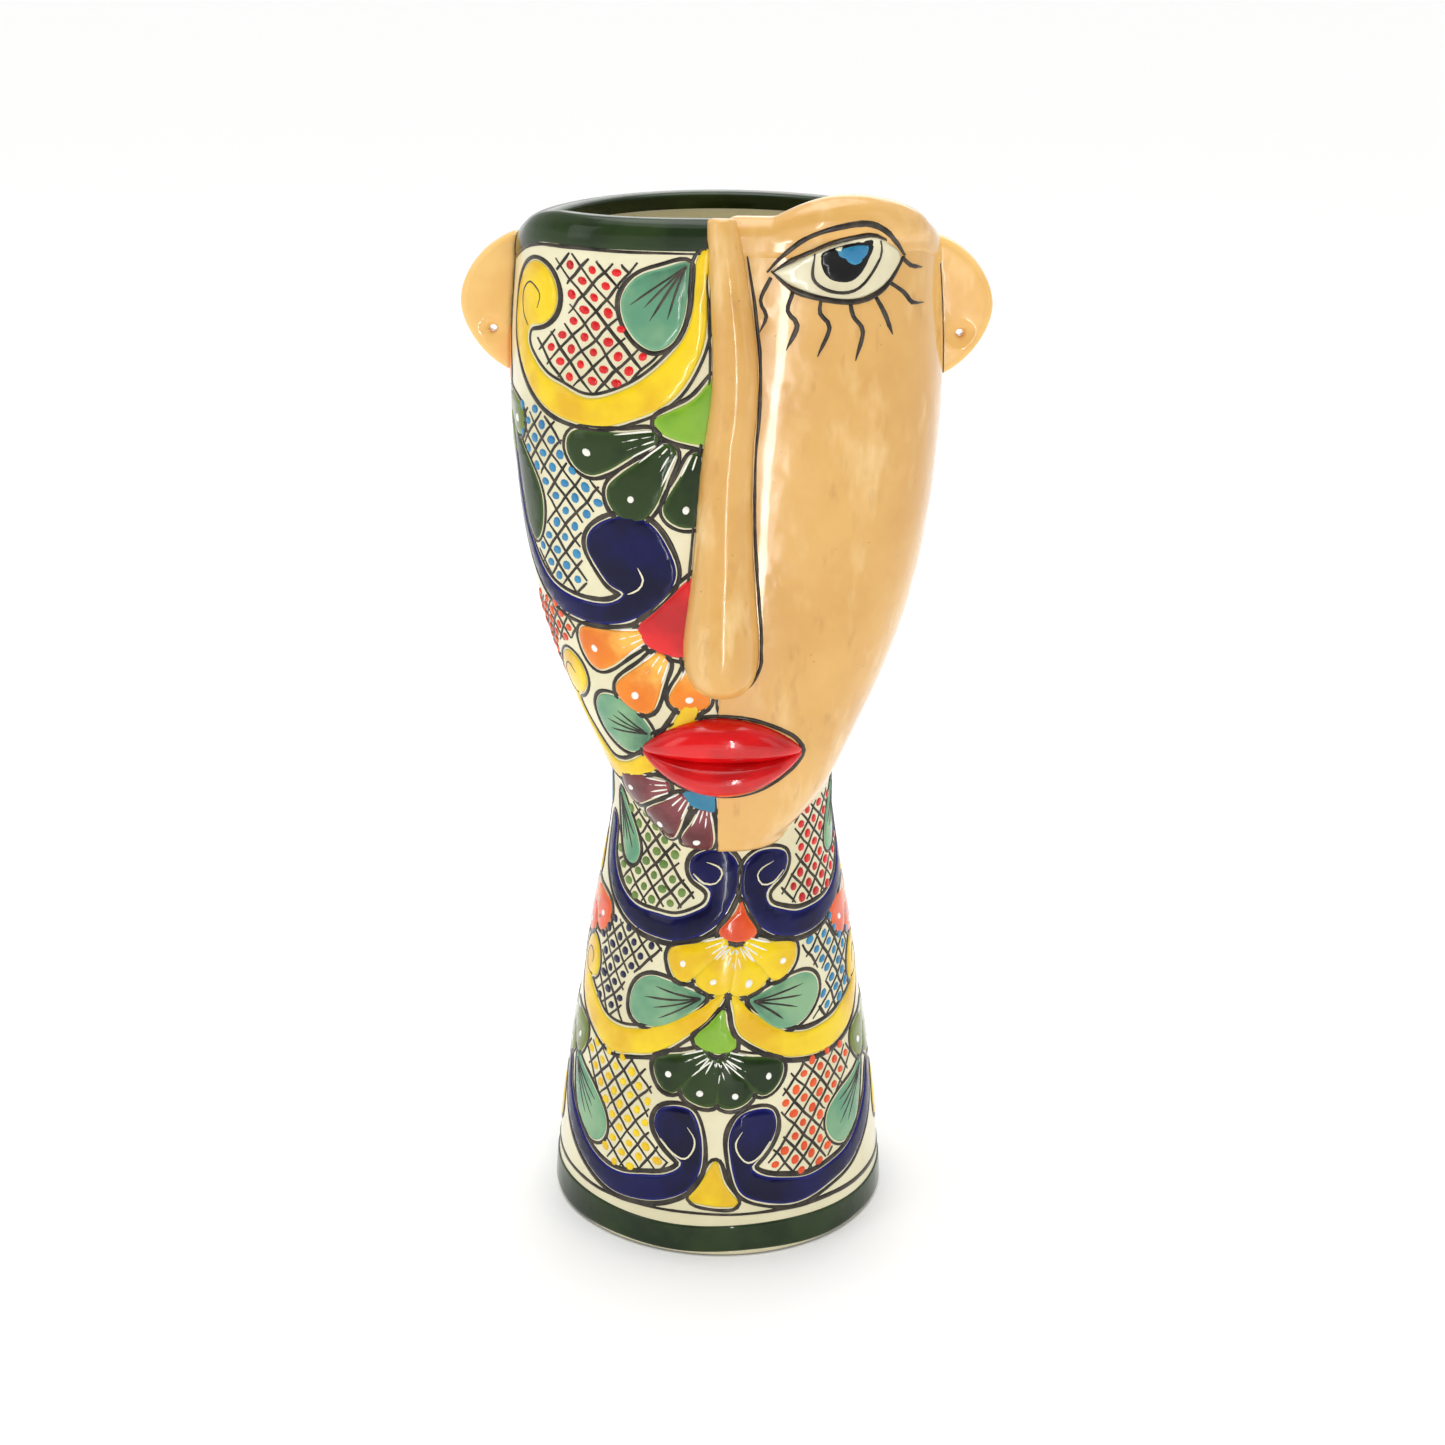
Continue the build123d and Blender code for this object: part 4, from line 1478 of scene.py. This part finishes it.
# %% [markdown]
# One line runs right round the lips. A short one joins the nose to them, and one drops to the chin.

# %% Lip lines
LIP_GAP = 0.7                # mm from the lips to their line
lip_spots = np.vstack([points_of(bpy.data.objects[n]) for n in ("upper_lip_glazed", "lower_lip_glazed")]) / MM
lip_left, lip_right = float(lip_spots[:, 0].min()), float(lip_spots[:, 0].max())


def lips_near(x):
    """The heights of the lips' points near a place across the face."""
    return lip_spots[np.abs(lip_spots[:, 0] - x) < 1.5][:, 2]


lip_columns = np.linspace(lip_left + 2.5, lip_right - 2.5, 13)
lip_top = [(x, float(lips_near(x).max()) + LIP_GAP) for x in lip_columns]
lip_low = [(x, float(lips_near(x).min()) - LIP_GAP) for x in lip_columns[::-1]]
middle = (lip_top[0][1] + lip_low[-1][1]) / 2
brush([(lip_left - 0.8, middle)] + lip_top + [(lip_right + 0.8, middle)] + lip_low, under_face,
      width=1.7, high=0.5, closed=True)
brush([(-2.2, nose_low - 1), (-2.4, nose_low - 4), (-2.0, lip_top[6][1] + 1)], under_face,
      width=1.5, high=0.4)
brush([(-2.6, lip_low[6][1] - 1), (-2.4, 205), (-2.0, 195), (-1.6, 186)], under_face, width=1.5, high=0.4,
      ends=(0.8, 0.4))
print("the lips are", round(lip_right - lip_left), "mm wide")

# %% [markdown]
# Each ear is a slab pressed on, and the brush went down both sides of its seam.

# %% Ear lines
for side in (-1, 1):
    ear = "ear_on_painted_side" if side < 0 else "ear_on_tan_side"
    ear_spots = points_of(bpy.data.objects[ear]) / MM
    front, back = float(ear_spots[:, 1].min()) - 0.6, float(ear_spots[:, 1].max()) + 0.6
    beside = Cast(["tan_face", "head_shell", "green_rim"] if side > 0 else ["head_shell", "green_rim"],
                  (side * 0.5, 0, 0), (-side, 0, 0), (0, 1, 0))
    low, high = float(ear_spots[:, 2].min()) + 1, float(ear_spots[:, 2].max()) - 1
    for y in (front, back):
        brush([(y, z) for z in np.linspace(high, low, 7)], beside, width=1.5, high=0.45, ends=(0.4, 0.4))
    print(ear, "seam lines", round(high - low), "mm long")

# %% [markdown]
# The eye is built up in layers like the real one: the white is flooded first, then the ring, the
# pupil and the blue are laid over it, and the lid strokes go on last.

# %% Eye
eye_white = cut_patch([(17, 424), (24, 427), (32, 430.5), (41, 434), (53, 436.5), (60, 434),
                       (66, 427.5), (61, 419), (55, 415), (47.4, 413), (36.7, 414), (26, 418)], cell=3.0)
eye_pupil = cut_patch([(35.3, 431), (35.3, 425), (38, 421), (42, 419.4), (47, 419.6), (51, 423), (54, 429),
                       (55, 435.5), (46, 434.5)], cell=3.0, rim=0.5)
eye_blue = cut_patch([(41, 431.6), (43.6, 428), (48, 425.6), (51.6, 428), (53, 433.6), (47, 433.6)], cell=3.0,
                     rim=0.5)
# The glint is a painted highlight: a small white patch on the pupil that stands for a reflected light.
eye_glint = cut_patch([(40, 432.4), (43.2, 433.4), (42.6, 431.2)], cell=3.0, rim=0.3)


def raised(patch, over):
    """The same patch on top of another."""
    return dict(patch, lift=patch["lift"] + np.where(patch["lift"] > 0, over, 0))


lay_patch(eye_white, on_face, "eye_white")
lay_patch(raised(eye_pupil, 0.25), on_face, "eye_pupil")
lay_patch(raised(eye_blue, 0.5), on_face, "eye_blue")
# The painted highlight on the pupil is laid in the eye's white glaze, over the blue.
lay_patch(raised(eye_glint, 0.5), on_face, "eye_white")
LID = {"over": 0.25, "high": 0.75, "colour": "eye_lines"}
brush([(15, 423.5), (21, 430), (30.4, 437), (40.4, 440.6), (51.8, 442), (59, 439), (63.4, 434),
       (67.4, 427.8)], on_face, width=3.0, ends=(0.3, 0.3), high=0.6, colour="eye_lines")
brush([(17, 423.5), (23.7, 427.8), (30.5, 431), (40.6, 435), (53.4, 437.6), (59.7, 435.2)], on_face,
      width=2.0, **LID)
brush([(16.5, 424), (25, 417), (36.7, 413.4), (47.4, 412), (55, 413.6), (61, 418), (66.9, 427.5)], on_face,
      width=2.5, **LID)
brush([(32.8, 430.6), (32.3, 421.4), (37.7, 416.8), (45.7, 415.7), (51.8, 419), (57.6, 428.3), (57.6, 435)],
      on_face, width=1.8, **LID)
lashes = [
    [(16.5, 421.6), (12.7, 413), (15, 407), (12.6, 401)],
    [(25, 416.5), (23, 409), (26.7, 403.5), (22.6, 394)],
    [(35.6, 413.6), (35.3, 408), (39, 402.5), (34.6, 391.5)],
    [(46.6, 412), (48, 406.5), (51.8, 400.5), (49.2, 389.5)],
    [(56.4, 413.4), (60, 407), (63.4, 398.5)],
    [(61.6, 418.5), (67.4, 414), (71, 409.5), (75.5, 408.5)],
    [(66.6, 427), (70, 423.6), (74.5, 422)],
]
for lash in lashes:
    brush(lash, on_face, width=2.0, high=0.5, ends=(0.9, 0.2), colour="eye_lines")
print("lashes:", len(lashes))

# %% [markdown]
# ## Rim line and foot line
#
# A thin brown line closes the pattern under the green rim, and a heavier wavering one runs above
# the green foot band with a sliver of bare cream under it.

# %% Rim line and foot line
RIM_BAND_HIGH = 11.8         # mm from the mouth's edge down to the green glaze's lower edge
FOOT_LINE = 20.2             # mm above the table
around_head = Place(head, 0, 1, shake=0.25)
around_neck = Place(neck, 0, 1, shake=0.25)
half_head = float(head.half_girth(420.0))
rim_line = []
for x in np.arange(-half_head - 60, -3, 7.0):
    angle = head.angle_at(x, 425.0)
    rim_line.append((x, float(lip_height(angle, head.radius(angle, np.asarray(0.42)))) / MM - RIM_BAND_HIGH))
brush(rim_line, around_head, width=1.6, high=0.3, ends=(0.6, 0.6))
half_neck = float(neck.half_girth(FOOT_LINE))
foot_line = []
for x in np.linspace(-half_neck, half_neck + 2, 70):
    a = x / half_neck * TURN
    foot_line.append((x, FOOT_LINE + 1.0 * math.sin(a - 2.3) + 0.7 * math.sin(3 * a + 1)))
brush(foot_line, around_neck, width=2.3, high=0.35, ends=(0.9, 0.9), colour="neck_lines")
print("foot line", round(2 * half_neck), "mm round")

# %% [markdown]
# ## Gathering the ornament
#
# Shapes of one colour become one piece, which takes one glaze. Their faces are turned outwards.

# %% Ornament pieces
GLAZES = {
    "yellow": yellow_glaze, "yellow_petals": yellow_glaze, "cobalt": cobalt_glaze, "pine": pine_glaze,
    "mint": mint_glaze, "leaf_green": leaf_green_glaze, "olive": olive_glaze, "orange": orange_glaze,
    "flame": flame_glaze, "red": red_glaze, "maroon": maroon_glaze, "cyan": cyan_glaze,
    "white": white_glaze, "red_dots": red_glaze, "sky_dots": sky_glaze, "flame_dots": flame_glaze,
    "moss_dots": moss_glaze, "navy_dots": navy_glaze, "yellow_dots": yellow_glaze,
    "lines": brush_glaze, "grooves": cream_glaze, "eye_white": eye_white_glaze,
    "eye_pupil": black_glaze, "eye_blue": eye_blue_glaze, "eye_lines": brush_glaze,
}


def gather(name, shapes, material):
    """One piece from many laid shapes."""
    spots, faces, edge, along, start = [], [], [], [], 0
    for where, shape_faces, shape_edge, shape_along in shapes:
        spots.append(where.reshape(-1, 3))
        faces += [tuple(start + i for i in f) for f in shape_faces]
        edge.append(shape_edge)
        along.append(shape_along)
        start += len(spots[-1])
    mesh = bpy.data.meshes.new(name)
    mesh.from_pydata(np.concatenate(spots).tolist(), [], faces)
    mesh.update()
    obj = bpy.data.objects.new(name, mesh)
    bpy.context.scene.collection.objects.link(obj)
    store(obj, "edge", np.concatenate(edge))
    store(obj, "along", np.concatenate(along))
    pick(obj)
    bpy.ops.object.mode_set(mode="EDIT")
    bpy.ops.mesh.select_all(action="SELECT")
    bpy.ops.mesh.normals_make_consistent(inside=False)
    bpy.ops.object.mode_set(mode="OBJECT")
    finish_piece(obj, material)
    return obj


for bin_name in sorted(bins):
    kind = bin_name.replace("head_", "").replace("neck_", "")
    gather(bin_name, bins[bin_name], GLAZES[kind])
